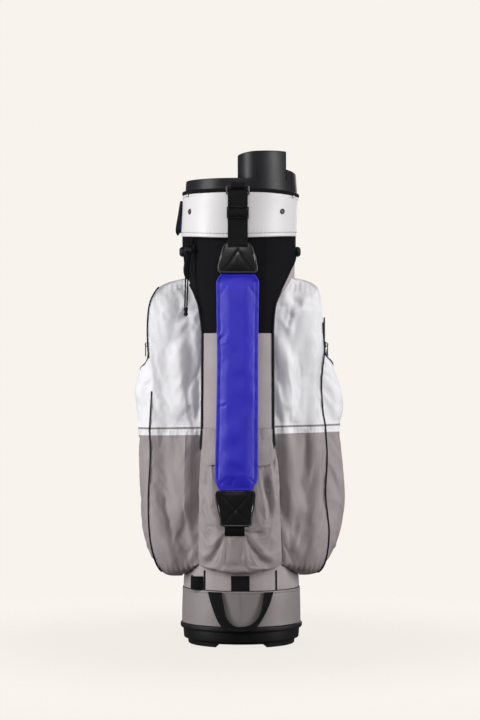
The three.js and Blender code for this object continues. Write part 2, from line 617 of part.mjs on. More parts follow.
function pockets() {
  const sides = {};
  for (const side of ["left", "right"]) {
    const turn = side === "left" ? mirrored : (body) => body;
    const inner = pouch({
      from: sideFrom, to: () => SIDE.to, low: SIDE.low, top: SIDE.top, across: 14, up: 18,
      rise: (az, z) => sideRise(az, z, side),
    });
    const outer = pouch({
      from: () => OUTER.from, to: () => OUTER.to, low: OUTER.low, top: OUTER.top, across: 8, up: 12,
      rise: (az, z) => outerRise(az, z, side), inner: (az, z) => sideRise(az, z, side) + 1,
    });
    sides[side] = turn(inner);
    piece(`side_pocket_${side}`, sides[side], FINISH.whiteFabric);
    piece(`outer_pocket_${side}`, turn(outer.subtract(inner)), FINISH.taupeFabric);
  }
  const backRise = (az, z) => 1.6 + 13 * ramp(z - 146, 70) * ramp(440 - z, 90) * ramp(44 - Math.abs(az), 16);
  const back = pouch({
    from: () => -44, to: () => 40, low: 146, top: 440, rise: backRise, across: 12, up: 10,
  });
  piece("back_pocket", back.subtract(sides.left).subtract(sides.right), FINISH.taupeFabric);
  const ball = frontPocket(BALL, { across: 14, up: 10, corner: 12, reach: 38 });
  piece("ball_pocket", ball, FINISH.taupeFabric);
  const accessory = frontPocket(ACCESSORY, { across: 12, up: 8, corner: 10, reach: 34 });
  piece("accessory_pocket", accessory, FINISH.whiteFabric);
}

// ---------------------------------------------------------------- zips

/** A zip's slider and its hanging pull, facing -Y, with the zip running up or across. */
function zipRunner(prefix, place, across) {
  const [w, h] = across ? [6.5, 4.5] : [4.5, 6.5];
  const bar = { y: -5.3, z: 1 };
  const ears = [-3.4, 3.4].map((x) => box([x - 0.5, x + 0.5], [bar.y - 0.9, -1.5], [bar.z - 1, bar.z + 1]));
  const body = join(box([-w, w], [-2.2, 0], [-h, h]), ...ears, rodAlongX(bar.y, bar.z, 0.8, -3.4, 3.4, 4));
  piece(`${prefix}_slider`, body, FINISH.metal, place);
  const eye = rodAlongX(bar.y, bar.z, 2.4, -2.3, 2.3).subtract(rodAlongX(bar.y, bar.z, 1.35, -9, 9));
  const tab = box([-2.3, 2.3], [bar.y - 0.8, bar.y + 0.8], [bar.z - 24, bar.z - 1.8]);
  piece(`${prefix}_pull`, eye.add(tab), FINISH.rubber, place);
}

function zips() {
  for (const [side, az] of [["left", -SIDE_ZIP.az], ["right", SIDE_ZIP.az]]) {
    const face = coverR(630) + sideRise(SIDE_ZIP.az, 630, side) + 0.8;
    const track = station(polar(az, face, 0), az);
    piece(`side_zip_${side}`, box([-5, 5], [-2, 0], [SIDE_ZIP.low, SIDE_ZIP.high]), FINISH.zip, track);
    zipRunner(`side_zip_${side}`, station(polar(az, face + 2 + GAP, SIDE_ZIP.rest), az), false);
  }
  const frontZips = [
    ["ball_zip", BALL.front + 0.8, 396, 66],
    ["accessory_zip", ACCESSORY.front + 0.8, 616, 50],
  ];
  for (const [name, y, z, half] of frontZips) {
    const track = station(new THREE.Vector3(0, y, z), 180);
    piece(name, box([-half, half], [-2, 0], [-5, 5]), FINISH.zip, track);
    zipRunner(name, station(new THREE.Vector3(-half + 12, y + 2 + GAP, z), 180), true);
  }
}

base();
tubeAndCover();
fittings();
organizer();
shoulderStrap();
grabHandle();
umbrellaSleeve();
umbrellaCord();
gloveTab();
frontHandle();
pockets();
zips();

export default bag;
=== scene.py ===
"""The looks of a cart golf bag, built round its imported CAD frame.

Builders work in millimetres in the frame's own axes (+Z up, the shoulder strap on the -Y side) and are
scaled when a mesh is made. An azimuth is measured from -Y towards +X, so +90 is the right-hand side.
Every surface carries a corner attribute, cloth, with its own lengths in metres for weave, grain and bands.
"""

import math

import bmesh
import bpy
import numpy as np
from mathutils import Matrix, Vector


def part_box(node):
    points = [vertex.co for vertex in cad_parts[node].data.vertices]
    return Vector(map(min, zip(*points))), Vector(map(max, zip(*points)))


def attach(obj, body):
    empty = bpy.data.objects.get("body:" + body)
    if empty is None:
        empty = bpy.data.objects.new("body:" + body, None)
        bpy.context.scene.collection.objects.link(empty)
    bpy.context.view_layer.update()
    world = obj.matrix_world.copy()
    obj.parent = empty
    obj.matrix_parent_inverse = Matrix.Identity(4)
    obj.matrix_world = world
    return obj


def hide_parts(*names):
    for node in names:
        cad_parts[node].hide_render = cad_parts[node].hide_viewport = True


MM = 0.001
BODY = "bag"
scene = bpy.context.scene

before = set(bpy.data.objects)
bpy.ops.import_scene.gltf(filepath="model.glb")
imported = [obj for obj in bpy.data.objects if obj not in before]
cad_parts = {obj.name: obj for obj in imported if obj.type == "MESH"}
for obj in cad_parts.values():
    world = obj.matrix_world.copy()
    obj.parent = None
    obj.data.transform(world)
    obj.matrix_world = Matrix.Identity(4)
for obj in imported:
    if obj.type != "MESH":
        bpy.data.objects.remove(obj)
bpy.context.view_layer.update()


# ---------------------------------------------------------------- lines and profiles

SIDES = (("left", -1), ("right", 1))  # each side's name and the sign of its X


def unit(vectors):
    """The vectors at length 1."""
    return vectors / np.linalg.norm(vectors, axis=-1, keepdims=True)


def level_out(points):
    """The level directions from the tube's axis out to points."""
    return unit(points * [1, 1, 0])


def lengths_along(line):
    """How far along a line each of its points lies."""
    return np.concatenate([[0], np.cumsum(np.linalg.norm(np.diff(line, axis=0), axis=1))])


def hump(x, middle, width):
    """A bell curve: 1 in its middle, falling off over a width."""
    return np.exp(-(((x - middle) / width) ** 2))


def spin_z(degrees):
    """A matrix that turns row vectors about Z."""
    c, s = math.cos(math.radians(degrees)), math.sin(math.radians(degrees))
    return np.array([[c, s, 0], [-s, c, 0], [0, 0, 1]])


def evenly(line, count):
    """The line again, with this many points at equal steps along it."""
    line = np.asarray(line, float)
    along = lengths_along(line)
    at = np.linspace(0, along[-1], count)
    return np.stack([np.interp(at, along, line[:, k]) for k in range(line.shape[1])], axis=1)


CURVE_STEPS = 16  # steps from one point of a curve to the next, before it is made even


def smooth_line(points, count):
    """A Catmull-Rom curve through the points, at equal steps."""
    p = np.asarray(points, float)
    p = np.vstack([2 * p[0] - p[1], p, 2 * p[-1] - p[-2]])
    t = np.linspace(0, 1, CURVE_STEPS, endpoint=False)[:, None]
    parts = []
    for i in range(1, len(p) - 2):
        a = 2 * p[i]
        b = p[i + 1] - p[i - 1]
        c = 2 * p[i - 1] - 5 * p[i] + 4 * p[i + 1] - p[i + 2]
        d = 3 * p[i] - p[i - 1] - 3 * p[i + 1] + p[i + 2]
        parts.append(0.5 * (a + b * t + c * t**2 + d * t**3))
    return evenly(np.vstack([*parts, p[-2:-1]]), count)


def rounded(corners, steps, closed):
    """A polyline whose corners (x, y, radius) are rounded off."""
    n = len(corners)
    line = []
    for i, (x, y, radius) in enumerate(corners):
        here = np.array([x, y], float)
        if radius == 0 or (not closed and i in (0, n - 1)):
            line.append(here)
            continue
        before = np.array(corners[i - 1][:2], float) - here
        after = np.array(corners[(i + 1) % n][:2], float) - here
        cut = min(radius, 0.48 * np.linalg.norm(before), 0.48 * np.linalg.norm(after))
        start = here + unit(before) * cut
        end = here + unit(after) * cut
        for t in np.linspace(0, 1, steps):
            line.append((1 - t) ** 2 * start + 2 * t * (1 - t) * here + t * t * end)
    if closed:
        line.append(line[0])
    return np.array(line)


def ramp(distance, over):
    """A quarter-ellipse ramp: 0 at no distance from an edge, 1 from `over` on."""
    left = 1 - np.clip(distance / over, 0, 1)
    return np.sqrt(1 - left * left)


def ease(x, low, high):
    """0 up to low, 1 from high on, smooth between."""
    t = np.clip((x - low) / (high - low), 0, 1)
    return t * t * (3 - 2 * t)


def ripples(u, v, size, seed, lean=(0, math.pi)):
    """A smooth uneven field of about -1 to 1, whose waves are about `size` long and run across `lean`."""
    draw, terms = np.random.default_rng(seed), 7
    total = np.zeros(np.broadcast(u, v).shape)
    for _ in range(terms):
        turn = draw.uniform(*lean)
        wave = size * draw.uniform(0.6, 1.7)
        phase = draw.uniform(0, 2 * math.pi)
        total += np.sin(2 * math.pi * (u * math.cos(turn) + v * math.sin(turn)) / wave + phase)
    return total / math.sqrt(terms)


def creases(u, v, folds):
    """The height of listed folds (u0, v0, u1, v1, width, height), each tapering to its two ends."""
    total = np.zeros(np.broadcast(u, v).shape)
    for u0, v0, u1, v1, width, height in folds:
        du, dv = u1 - u0, v1 - v0
        length = math.hypot(du, dv)
        along = ((u - u0) * du + (v - v0) * dv) / length
        across = ((u - u0) * dv - (v - v0) * du) / length
        taper = ease(along, -0.1 * length, 0.25 * length) * (1 - ease(along, 0.75 * length, 1.1 * length))
        total += height * taper * hump(across, 0, width)
    return total


def polar(az, radius, z):
    """Points at azimuths in degrees, radii and heights."""
    turn = np.radians(az)
    return np.stack(np.broadcast_arrays(radius * np.sin(turn), -radius * np.cos(turn), z), axis=-1)


# ---------------------------------------------------------------- meshes


class Shape:
    """Surfaces gathered into one mesh, in millimetres."""

    def __init__(self):
        self.points, self.faces, self.cloth, self.finish = [], [], [], []
        self.count = 0

    def grid(self, rows, wrap=False, finish=0, height=False, caps=False):
        """Quads over rows of points. With `height`, the cloth runs up with Z, not with its own length."""
        rows = np.asarray(rows, float)
        up, across = rows.shape[:2]
        ring = rows[up // 2]
        ring = np.vstack([ring, ring[:1]]) if wrap else ring
        u = lengths_along(ring) * MM
        v = lengths_along(rows[:, across // 2]) * MM
        start = self.count
        for i in range(up - 1):
            for j in range(across if wrap else across - 1):
                k = (j + 1) % across
                corners = [(i, j), (i, k), (i + 1, k), (i + 1, j)]
                self.faces.append([start + a * across + b for a, b in corners])
                for (a, b), far in zip(corners, (0, 1, 1, 0)):
                    self.cloth.append((u[j + far], rows[a, b, 2] * MM if height else v[a], 0))
                self.finish.append(finish)
        if caps:
            for row in (0, up - 1):
                self.faces.append([start + row * across + b for b in range(across)])
                self.cloth += [(u[b], v[row], 0) for b in range(across)]
                self.finish.append(finish)
        self.points.append(rows.reshape(-1, 3))
        self.count += up * across
        return self

    def piece(self, name, materials, body=BODY, slot=None, replaces=(), sharp=38, weld=True):
        """The mesh as a piece that rides on a body and stands for CAD nodes."""
        mesh = bpy.data.meshes.new(name)
        mesh.from_pydata((np.vstack(self.points) * MM).tolist(), [], self.faces)
        cloth = mesh.attributes.new("cloth", "FLOAT_VECTOR", "CORNER")
        cloth.data.foreach_set("vector", np.array(self.cloth).ravel())
        mesh.polygons.foreach_set("material_index", self.finish)
        mesh.update()
        work = bmesh.new()
        work.from_mesh(mesh)
        if weld:
            bmesh.ops.remove_doubles(work, verts=work.verts, dist=0.00001)
        bmesh.ops.recalc_face_normals(work, faces=work.faces)
        work.to_mesh(mesh)
        work.free()
        mesh.polygons.foreach_set("use_smooth", [True] * len(mesh.polygons))
        mesh.set_sharp_from_angle(angle=math.radians(sharp))
        obj = bpy.data.objects.new(name, mesh)
        scene.collection.objects.link(obj)
        for material in materials if isinstance(materials, list) else [materials]:
            mesh.materials.append(material)
        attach(obj, body)
        if replaces:
            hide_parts(*replaces)
        return obj


def coordinates(mesh):
    """A mesh's points, in metres."""
    points = np.empty(len(mesh.vertices) * 3)
    mesh.vertices.foreach_get("co", points)
    return points.reshape(-1, 3)


def lathe(corners, segments, closed=True, steps=5):
    """Rows turned about Z from corners (radius, z, rounding)."""
    line = rounded(corners, steps, closed)
    az = np.linspace(0, 360, segments, endpoint=False)
    return polar(az[None, :], line[:, 0:1], line[:, 1:2])


def knob(segments, *corners):
    """Rows of a solid turned about Z, from corners of its half profile that start and end near the axis."""
    return lathe(corners, segments, closed=False)


def two_faces(front, back):
    """Rows that run over a sheet's front and return over its back."""
    return np.concatenate([front, back[:, ::-1]], axis=1)


def outward(rows, az, radius, z):
    """Rows made about Z, turned so that +Z points out at an azimuth, and put at a radius and height."""
    turn = math.radians(az)
    out = np.array([math.sin(turn), -math.cos(turn), 0])
    side = np.array([math.cos(turn), math.sin(turn), 0])
    up = np.array([0, 0, 1])
    place = polar(az, radius, z)
    return place + rows[..., 0:1] * side + rows[..., 1:2] * up + rows[..., 2:3] * out


def frames_along(path):
    """Two directions across a path at each of its points, turned as little as possible."""
    tangent = unit(np.gradient(path, axis=0))
    first = np.cross(tangent[0], [0, 0, 1])
    if np.linalg.norm(first) < 0.1:
        first = np.cross(tangent[0], [1, 0, 0])
    side = [unit(first)]
    for t in tangent[1:]:
        side.append(unit(side[-1] - np.dot(side[-1], t) * t))
    side = np.array(side)
    return side, np.cross(tangent, side)


def tube(path, radius, sides=10, ends=True):
    """Rows of a round tube along a path, its ends domed."""
    path = np.asarray(path, float)
    radius = np.broadcast_to(radius, len(path)).astype(float)
    if ends:
        first, last = unit(path[0] - path[1]), unit(path[-1] - path[-2])
        dome = [(math.sin(a), math.cos(a)) for a in np.radians([88, 62, 32])]
        head = [path[0] + first * radius[0] * s * 0.8 for s, _ in dome]
        tail = [path[-1] + last * radius[-1] * s * 0.8 for s, _ in reversed(dome)]
        path = np.vstack([head, path, tail])
        shrink = np.array([c for _, c in dome])
        radius = np.concatenate([radius[0] * shrink, radius, radius[-1] * shrink[::-1]])
    side, up = frames_along(path)
    turn = np.linspace(0, 2 * math.pi, sides, endpoint=False)
    ring = np.cos(turn)[None, :, None] * side[:, None] + np.sin(turn)[None, :, None] * up[:, None]
    return path[:, None] + radius[:, None, None] * ring


def flat_band(middle, across, out, width, thick, columns=9, crown=0.0):
    """Rows of a flat band along a middle line, from the directions across and out of it, and its widths."""
    middle = np.asarray(middle, float)
    width = np.broadcast_to(width, len(middle)).astype(float)[:, None, None]
    across = np.broadcast_to(across, middle.shape)[:, None]
    out = np.broadcast_to(out, middle.shape)[:, None]
    share = np.linspace(-1, 1, columns)
    edge = np.clip((1 - np.abs(share)) * 6, 0, 1)
    face = thick * (0.2 + 0.3 * np.sqrt(edge)) + crown * (1 - share**2)
    ring_u = np.concatenate([share, share[::-1]])
    ring_v = np.concatenate([face, -thick * (0.2 + 0.3 * np.sqrt(edge[::-1]))])
    return middle[:, None] + across * (ring_u[None, :, None] * width / 2) + out * ring_v[None, :, None]


def block(size, power, around, up):
    """Rows of a box with soft edges about the origin, its poles along Z."""
    turn = np.linspace(0, 2 * math.pi, around, endpoint=False)
    lift = np.linspace(-math.pi / 2, math.pi / 2, up)

    def soft(x):
        return np.sign(x) * np.abs(x) ** (2 / power)

    flat = soft(np.cos(lift))[:, None]
    x = size[0] / 2 * flat * soft(np.cos(turn))[None, :]
    y = size[1] / 2 * flat * soft(np.sin(turn))[None, :]
    z = size[2] / 2 * np.broadcast_to(soft(np.sin(lift))[:, None], x.shape)
    return np.stack([x, y, z], axis=-1)


STITCH_STEPS = 6  # points from one stitch's start to the next one's


def stitches(shape, line, pitch, gap, radius):
    """Sewing thread along a line that lies on a surface."""
    line = np.asarray(line, float)
    count = max(1, int(lengths_along(line)[-1] / pitch))
    dense = evenly(line, count * STITCH_STEPS + 1)
    filled = max(2, round(STITCH_STEPS * (1 - gap / pitch)) + 1)
    for i in range(count):
        at = i * STITCH_STEPS
        shape.grid(tube(dense[at : at + filled], radius, sides=5), wrap=True)


def sew(name, thread, slot, lines, body=BODY):
    """A piece of sewing, from lines each with its pitch, gap and radius of thread."""
    shape = Shape()
    for line, pitch, gap, radius in lines:
        stitches(shape, line, pitch, gap, radius)
    shape.piece(name, thread, body, slot)


# ---------------------------------------------------------------- materials


def srgb(*color):
    """A screen colour of 0 to 255 as linear light."""
    return tuple(c / 255 / 12.92 if c <= 10 else ((c / 255 + 0.055) / 1.055) ** 2.4 for c in color)


class Finish:
    """A material's node tree, with short names for the nodes used here."""

    def __init__(self, name, roughness, metallic=0.0, specular=0.5):
        self.material = bpy.data.materials.new(name)
        self.material.use_nodes = True
        self.nodes = self.material.node_tree.nodes
        self.links = self.material.node_tree.links
        self.nodes.clear()
        self.shader = self.nodes.new("ShaderNodeBsdfPrincipled")
        output = self.nodes.new("ShaderNodeOutputMaterial")
        self.links.new(self.shader.outputs["BSDF"], output.inputs["Surface"])
        self.shader.inputs["Roughness"].default_value = roughness
        self.shader.inputs["Metallic"].default_value = metallic
        self.shader.inputs["Specular IOR Level"].default_value = specular
        self.normal = None

    def put(self, socket, value):
        """Gives a socket a constant, a colour, or a link from another socket."""
        if isinstance(value, bpy.types.NodeSocket):
            self.links.new(value, socket)
        elif isinstance(value, tuple) and len(value) == 3 and socket.type == "RGBA":
            socket.default_value = (*value, 1)
        else:
            socket.default_value = value

    def node(self, kind, inputs, **settings):
        """A new node's outputs, once its settings and its inputs are given."""
        node = self.nodes.new(f"ShaderNode{kind}")
        for key, value in settings.items():
            setattr(node, key, value)
        for key, value in inputs.items():
            self.put(node.inputs[key], value)
        return node.outputs

    def cloth(self):
        """The surface's own lengths: as a vector, along and across."""
        vector = self.node("Attribute", {}, attribute_name="cloth")["Vector"]
        split = self.node("SeparateXYZ", {0: vector})
        return vector, split["X"], split["Y"]

    def place(self):
        """The place on the piece, in metres."""
        return self.node("TexCoord", {})["Object"]

    def level(self, tilt):
        """The height above the floor in metres, less a tilt that rises to the right."""
        split = self.node("SeparateXYZ", {0: self.place()})
        return self.math("MULTIPLY_ADD", split["X"], -tilt, split["Z"])

    def math(self, operation, a, b=0.0, c=0.0):
        return self.node("Math", {0: a, 1: b, 2: c}, operation=operation)[0]

    def noise(self, at, scale, detail=3.0, roughness=0.55):
        inputs = {"Vector": at, "Scale": scale, "Detail": detail, "Roughness": roughness}
        return self.node("TexNoise", inputs)["Fac"]

    def cells(self, at, scale):
        """The distance to the nearest edge between cells."""
        return self.node("TexVoronoi", {"Vector": at, "Scale": scale}, feature="DISTANCE_TO_EDGE")["Distance"]

    def mix(self, share, a, b):
        return self.node("Mix", {"Factor": share, 6: a, 7: b}, data_type="RGBA")[2]

    def tint(self, color, share, by, toward):
        """A colour mixed by a share of a value towards another one."""
        return self.mix(self.math("MULTIPLY", share, by), color, toward)

    def steps(self, value, stops):
        """Bands of colour: (from this value on, colour), in rising order, over 0 to 1."""
        node = self.nodes.new("ShaderNodeValToRGB")
        node.color_ramp.interpolation = "CONSTANT"
        elements = node.color_ramp.elements
        while len(elements) < len(stops):
            elements.new(1.0)
        for element, (at, color) in zip(elements, stops):
            element.position = at
            element.color = (*color, 1)
        self.put(node.inputs[0], value)
        return node.outputs["Color"]

    def weave(self, pitch, u, v):
        """Threads over and under, -1 to 1."""
        a = self.math("SINE", self.math("MULTIPLY", u, 2 * math.pi / pitch))
        b = self.math("SINE", self.math("MULTIPLY", v, 2 * math.pi / pitch))
        return self.math("MULTIPLY", a, b)

    def bump(self, height, distance, strength):
        """Relief in the surface, over the relief that is already there."""
        inputs = {"Strength": strength, "Distance": distance, "Height": height}
        if self.normal:
            inputs["Normal"] = self.normal
        self.normal = self.node("Bump", inputs)["Normal"]

    def vary_roughness(self, value, span, least):
        """Roughness from its least, growing by a span with a value of 0 to 1."""
        self.put(self.shader.inputs["Roughness"], self.math("MULTIPLY_ADD", value, span, least))

    def done(self, color, sheen=0.0, coat=0.0):
        """The finished material."""
        self.put(self.shader.inputs["Base Color"], color)
        self.shader.inputs["Sheen Weight"].default_value = sheen
        self.shader.inputs["Sheen Roughness"].default_value = 0.45
        self.shader.inputs["Coat Weight"].default_value = coat
        self.shader.inputs["Coat Roughness"].default_value = 0.2
        if self.normal:
            self.links.new(self.normal, self.shader.inputs["Normal"])
        return self.material


def darker(color, by):
    """The colour times a number, which brightens it from 1 on."""
    return tuple(c * by for c in color)


def fabric(name, color, roughness=0.62, pitch=0.0006, sheen=0.12, bands=None, specular=0.4):
    """Coated nylon: a fine weave, faint unevenness and soft small wrinkles."""
    finish = Finish(name, roughness, specular=specular)
    vector, u, v = finish.cloth()
    patches = finish.noise(vector, 22, 4)
    threads = finish.weave(pitch, u, v)
    base = finish.steps(finish.level(SEAM_TILT), bands) if bands else color
    worn = finish.math("MULTIPLY", finish.math("ADD", threads, 1.0), 0.03)
    shade = finish.mix(finish.math("MULTIPLY_ADD", patches, 0.16, worn), base, (0, 0, 0))
    finish.bump(finish.noise(vector, 45), 0.0014, 0.35)
    finish.bump(threads, 0.00008, 0.6)
    finish.vary_roughness(patches, 0.12, roughness - 0.06)
    return finish.done(shade, sheen)


def leather(name, color, roughness=0.4, grain=1400, coat=0.0):
    """Coated synthetic leather with a pebbled grain and slightly worn sheen."""
    finish = Finish(name, roughness)
    at = finish.place()
    pebbles = finish.cells(at, grain)
    broad = finish.noise(at, 18, 4)
    shade = finish.tint(color, broad, 0.16, darker(color, 0.62))
    shade = finish.tint(shade, finish.math("SUBTRACT", 0.25, pebbles), 0.22, darker(color, 0.5))
    finish.bump(finish.noise(at, 30), 0.0012, 0.3)
    finish.bump(pebbles, 0.00012, 0.5)
    finish.vary_roughness(broad, 0.16, roughness - 0.08)
    return finish.done(shade, 0.0, coat)


def moulded(name, color, roughness=0.42, specular=0.5):
    """Injection-moulded plastic with a spark-eroded texture and faint scuffs."""
    finish = Finish(name, roughness, specular=specular)
    at = finish.place()
    scuff = finish.noise(at, 26, 5, 0.65)
    finish.bump(finish.noise(at, 1900, 2), 0.00006, 0.5)
    finish.vary_roughness(scuff, 0.2, roughness - 0.1)
    return finish.done(finish.tint(color, scuff, 0.3, darker(color, 1.5)))


def woven_band(name, color, rib=0.0016):
    """Webbing: diagonal ribs of heavy yarn."""
    finish = Finish(name, 0.75, specular=0.12)
    vector, u, v = finish.cloth()
    zigzag = finish.math("PINGPONG", u, rib * 3)
    ribs = finish.math("SINE", finish.math("MULTIPLY", finish.math("ADD", v, zigzag), 2 * math.pi / rib))
    shade = finish.tint(color, finish.math("ADD", ribs, 1), 0.2, darker(color, 1.7))
    shade = finish.tint(shade, finish.noise(vector, 60), 0.25, darker(color, 0.6))
    finish.bump(ribs, 0.00035, 0.7)
    finish.bump(finish.weave(0.0008, u, v), 0.00012, 0.5)
    return finish.done(shade)


def metal(name, color, roughness=0.32):
    """Plated metal with fine brushing and darker patches."""
    finish = Finish(name, roughness, metallic=1.0)
    at = finish.place()
    patches = finish.noise(at, 140, 4)
    finish.bump(finish.noise(at, 2600, 2), 0.00003, 0.4)
    finish.vary_roughness(patches, 0.22, roughness - 0.1)
    return finish.done(finish.tint(color, patches, 0.5, darker(color, 0.45)))


WHITE = srgb(240, 239, 243)
TAUPE = srgb(158, 148, 150)
STRIPE = srgb(140, 133, 130)
BODY_TAUPE = srgb(174, 164, 166)
BLACK = srgb(17, 16, 20)
BLUE = srgb(43, 36, 202)
SEAM = 0.4170  # the height of the white cloth's lower edge, in metres
SEAM_TILT = 0.018  # how much that edge rises to the right
POCKET_BANDS = [(0.0, TAUPE), (SEAM, WHITE), (SEAM + 0.0095, STRIPE), (SEAM + 0.0140, WHITE)]

fabric_white = fabric("coated_white_fabric", WHITE, 0.5)
fabric_pocket = fabric("white_over_taupe_fabric", WHITE, 0.5, bands=POCKET_BANDS)
fabric_taupe = fabric("taupe_fabric", TAUPE, 0.55)
fabric_body = fabric("light_taupe_fabric", BODY_TAUPE, 0.6)
fabric_black = fabric("black_fabric", BLACK, 0.7, sheen=0.0, specular=0.06)
fabric_pad = fabric("blue_pad_fabric", BLUE, 0.36, pitch=0.0005, sheen=0.0, specular=0.5)
fabric_lining = fabric("dark_blue_lining", srgb(42, 36, 120), 0.5)
leather_black = leather("black_leather", srgb(6, 7, 9), 0.3, 900, coat=0.2)
leather_white = leather("white_leather", srgb(219, 217, 218), 0.45, 1500)
leather_taupe = leather("taupe_leather", srgb(134, 126, 127), 0.5, 1500)
webbing = woven_band("black_webbing", srgb(18, 18, 20))
piping = fabric("black_piping", srgb(19, 19, 30), 0.55, pitch=0.0008, sheen=0.0, specular=0.25)
cording = woven_band("braided_cord", srgb(9, 9, 11), rib=0.001)
thread_light = fabric("light_thread", srgb(150, 146, 150), 0.7, pitch=0.0003)
thread_taupe = fabric("taupe_thread", srgb(128, 120, 121), 0.7, pitch=0.0003)
thread_black = fabric("black_thread", srgb(40, 40, 43), 0.7, pitch=0.0003, sheen=0.0, specular=0.2)
thread_blue = fabric("blue_thread", srgb(70, 64, 190), 0.5, pitch=0.0003)
plastic = moulded("moulded_top_plastic", srgb(21, 19, 23), 0.42, 0.26)
plastic_base = moulded("moulded_base_plastic", srgb(12, 11, 11), 0.5, 0.2)
rubber = moulded("soft_rubber", srgb(15, 15, 19), 0.55, 0.25)
gunmetal = metal("gunmetal", srgb(96, 88, 88))
nickel = metal("nickel_plate", srgb(236, 232, 228), 0.3)


# ---------------------------------------------------------------- camera, light and stage


def make_camera():
    """The photo's camera: level, and 4.65 m from the bag."""
    camera = bpy.data.cameras.new("camera")
    camera.lens = 116.25
    camera.sensor_width = 36
    obj = bpy.data.objects.new("camera", camera)
    obj.location = (-0.0026, -4.65, 0.5636)
    obj.rotation_euler = (math.pi / 2, 0, 0)
    scene.collection.objects.link(obj)
    scene.camera = obj


def softbox(name, place, aim, size, power):
    """A rectangular light of a width and height, aimed at a point."""
    light = bpy.data.lights.new(name, "AREA")
    light.shape = "RECTANGLE"
    light.size, light.size_y = size
    light.energy = power
    obj = bpy.data.objects.new(name, light)
    obj.location = place
    obj.rotation_euler = (Vector(aim) - Vector(place)).to_track_quat("-Z", "Y").to_euler()
    scene.collection.objects.link(obj)


BACKGROUND = srgb(248, 243, 237)
AMBIENT = 0.13


def make_world():
    """A pale surround: the camera sees it at full brightness, and the bag is filled by less of it."""
    world = bpy.data.worlds.new("studio")
    scene.world = world
    world.use_nodes = True
    nodes, links = world.node_tree.nodes, world.node_tree.links
    nodes.clear()
    seen = nodes.new("ShaderNodeBackground")
    seen.inputs["Color"].default_value = (*BACKGROUND, 1)
    fill = nodes.new("ShaderNodeBackground")
    fill.inputs["Color"].default_value = (*BACKGROUND, 1)
    fill.inputs["Strength"].default_value = AMBIENT
    ray = nodes.new("ShaderNodeLightPath")
    pick = nodes.new("ShaderNodeMixShader")
    output = nodes.new("ShaderNodeOutputWorld")
    links.new(ray.outputs["Is Camera Ray"], pick.inputs[0])
    links.new(fill.outputs[0], pick.inputs[1])
    links.new(seen.outputs[0], pick.inputs[2])
    links.new(pick.outputs[0], output.inputs["Surface"])


def make_floor():
    """A pale disc that takes the contact shadow and fades out into the surround."""
    disc = Shape()
    radii = np.concatenate([[1.0], np.linspace(40, 1500, 30)])
    az = np.linspace(0, 360, 96, endpoint=False)
    disc.grid(polar(az[None, :], radii[:, None], np.full((len(radii), 1), -0.6)), wrap=True, caps=True)
    finish = Finish("floor", 0.9, specular=0.1)
    length = finish.node("VectorMath", {0: finish.place()}, operation="LENGTH")["Value"]
    span = {"Value": length, "From Min": 0.2, "From Max": 1.1, "To Min": 1.0, "To Max": 0.0}
    fade = finish.node("MapRange", span, interpolation_type="SMOOTHSTEP")[0]
    finish.put(finish.shader.inputs["Alpha"], fade)
    finish.shader.inputs["Emission Color"].default_value = (*BACKGROUND, 1)
    finish.shader.inputs["Emission Strength"].default_value = 0.895
    obj = disc.piece("floor", finish.done(darker(BACKGROUND, 0.14)))
    obj.visible_diffuse = False
    obj.visible_glossy = False


make_camera()
make_world()
make_floor()
softbox("key_left", (-2.7, -0.85, 1.0), (0, 0, 0.5), (0.8, 2.4), 85)
softbox("key_right", (2.7, -0.75, 1.05), (0, 0, 0.55), (0.8, 2.4), 73)
softbox("front", (-0.2, -2.7, 2.5), (0, 0, 0.45), (2.4, 1.2), 36)
softbox("top", (0.0, 0.2, 3.0), (0, 0, 0.5), (2.0, 1.4), 12)
softbox("rear", (0.3, 3.0, 1.6), (0, 0, 0.5), (2.2, 1.6), 40)
scene.view_settings.view_transform = "Standard"


# ---------------------------------------------------------------- the bag's tube


def corner(node, high=True):
    """A node's corner in millimetres."""
    low_corner, high_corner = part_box(node)
    return np.array(high_corner if high else low_corner) / MM


TAPER = (112, 800)  # the heights between which the cover tapers


def cover_profile():
    """The cover's outer radius where its taper starts and where it ends."""
    x, y, z = coordinates(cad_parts["body_cover"].data).T / MM
    radius = np.hypot(x, y)
    return radius[z < TAPER[0] + 1].max(), radius[z > TAPER[1] - 1].max()


COVER_RADII = cover_profile()


def cover_r(z):
    """The cover's radius at a height."""
    return np.interp(z, TAPER, COVER_RADII)


# ---------------------------------------------------------------- umbrella cord


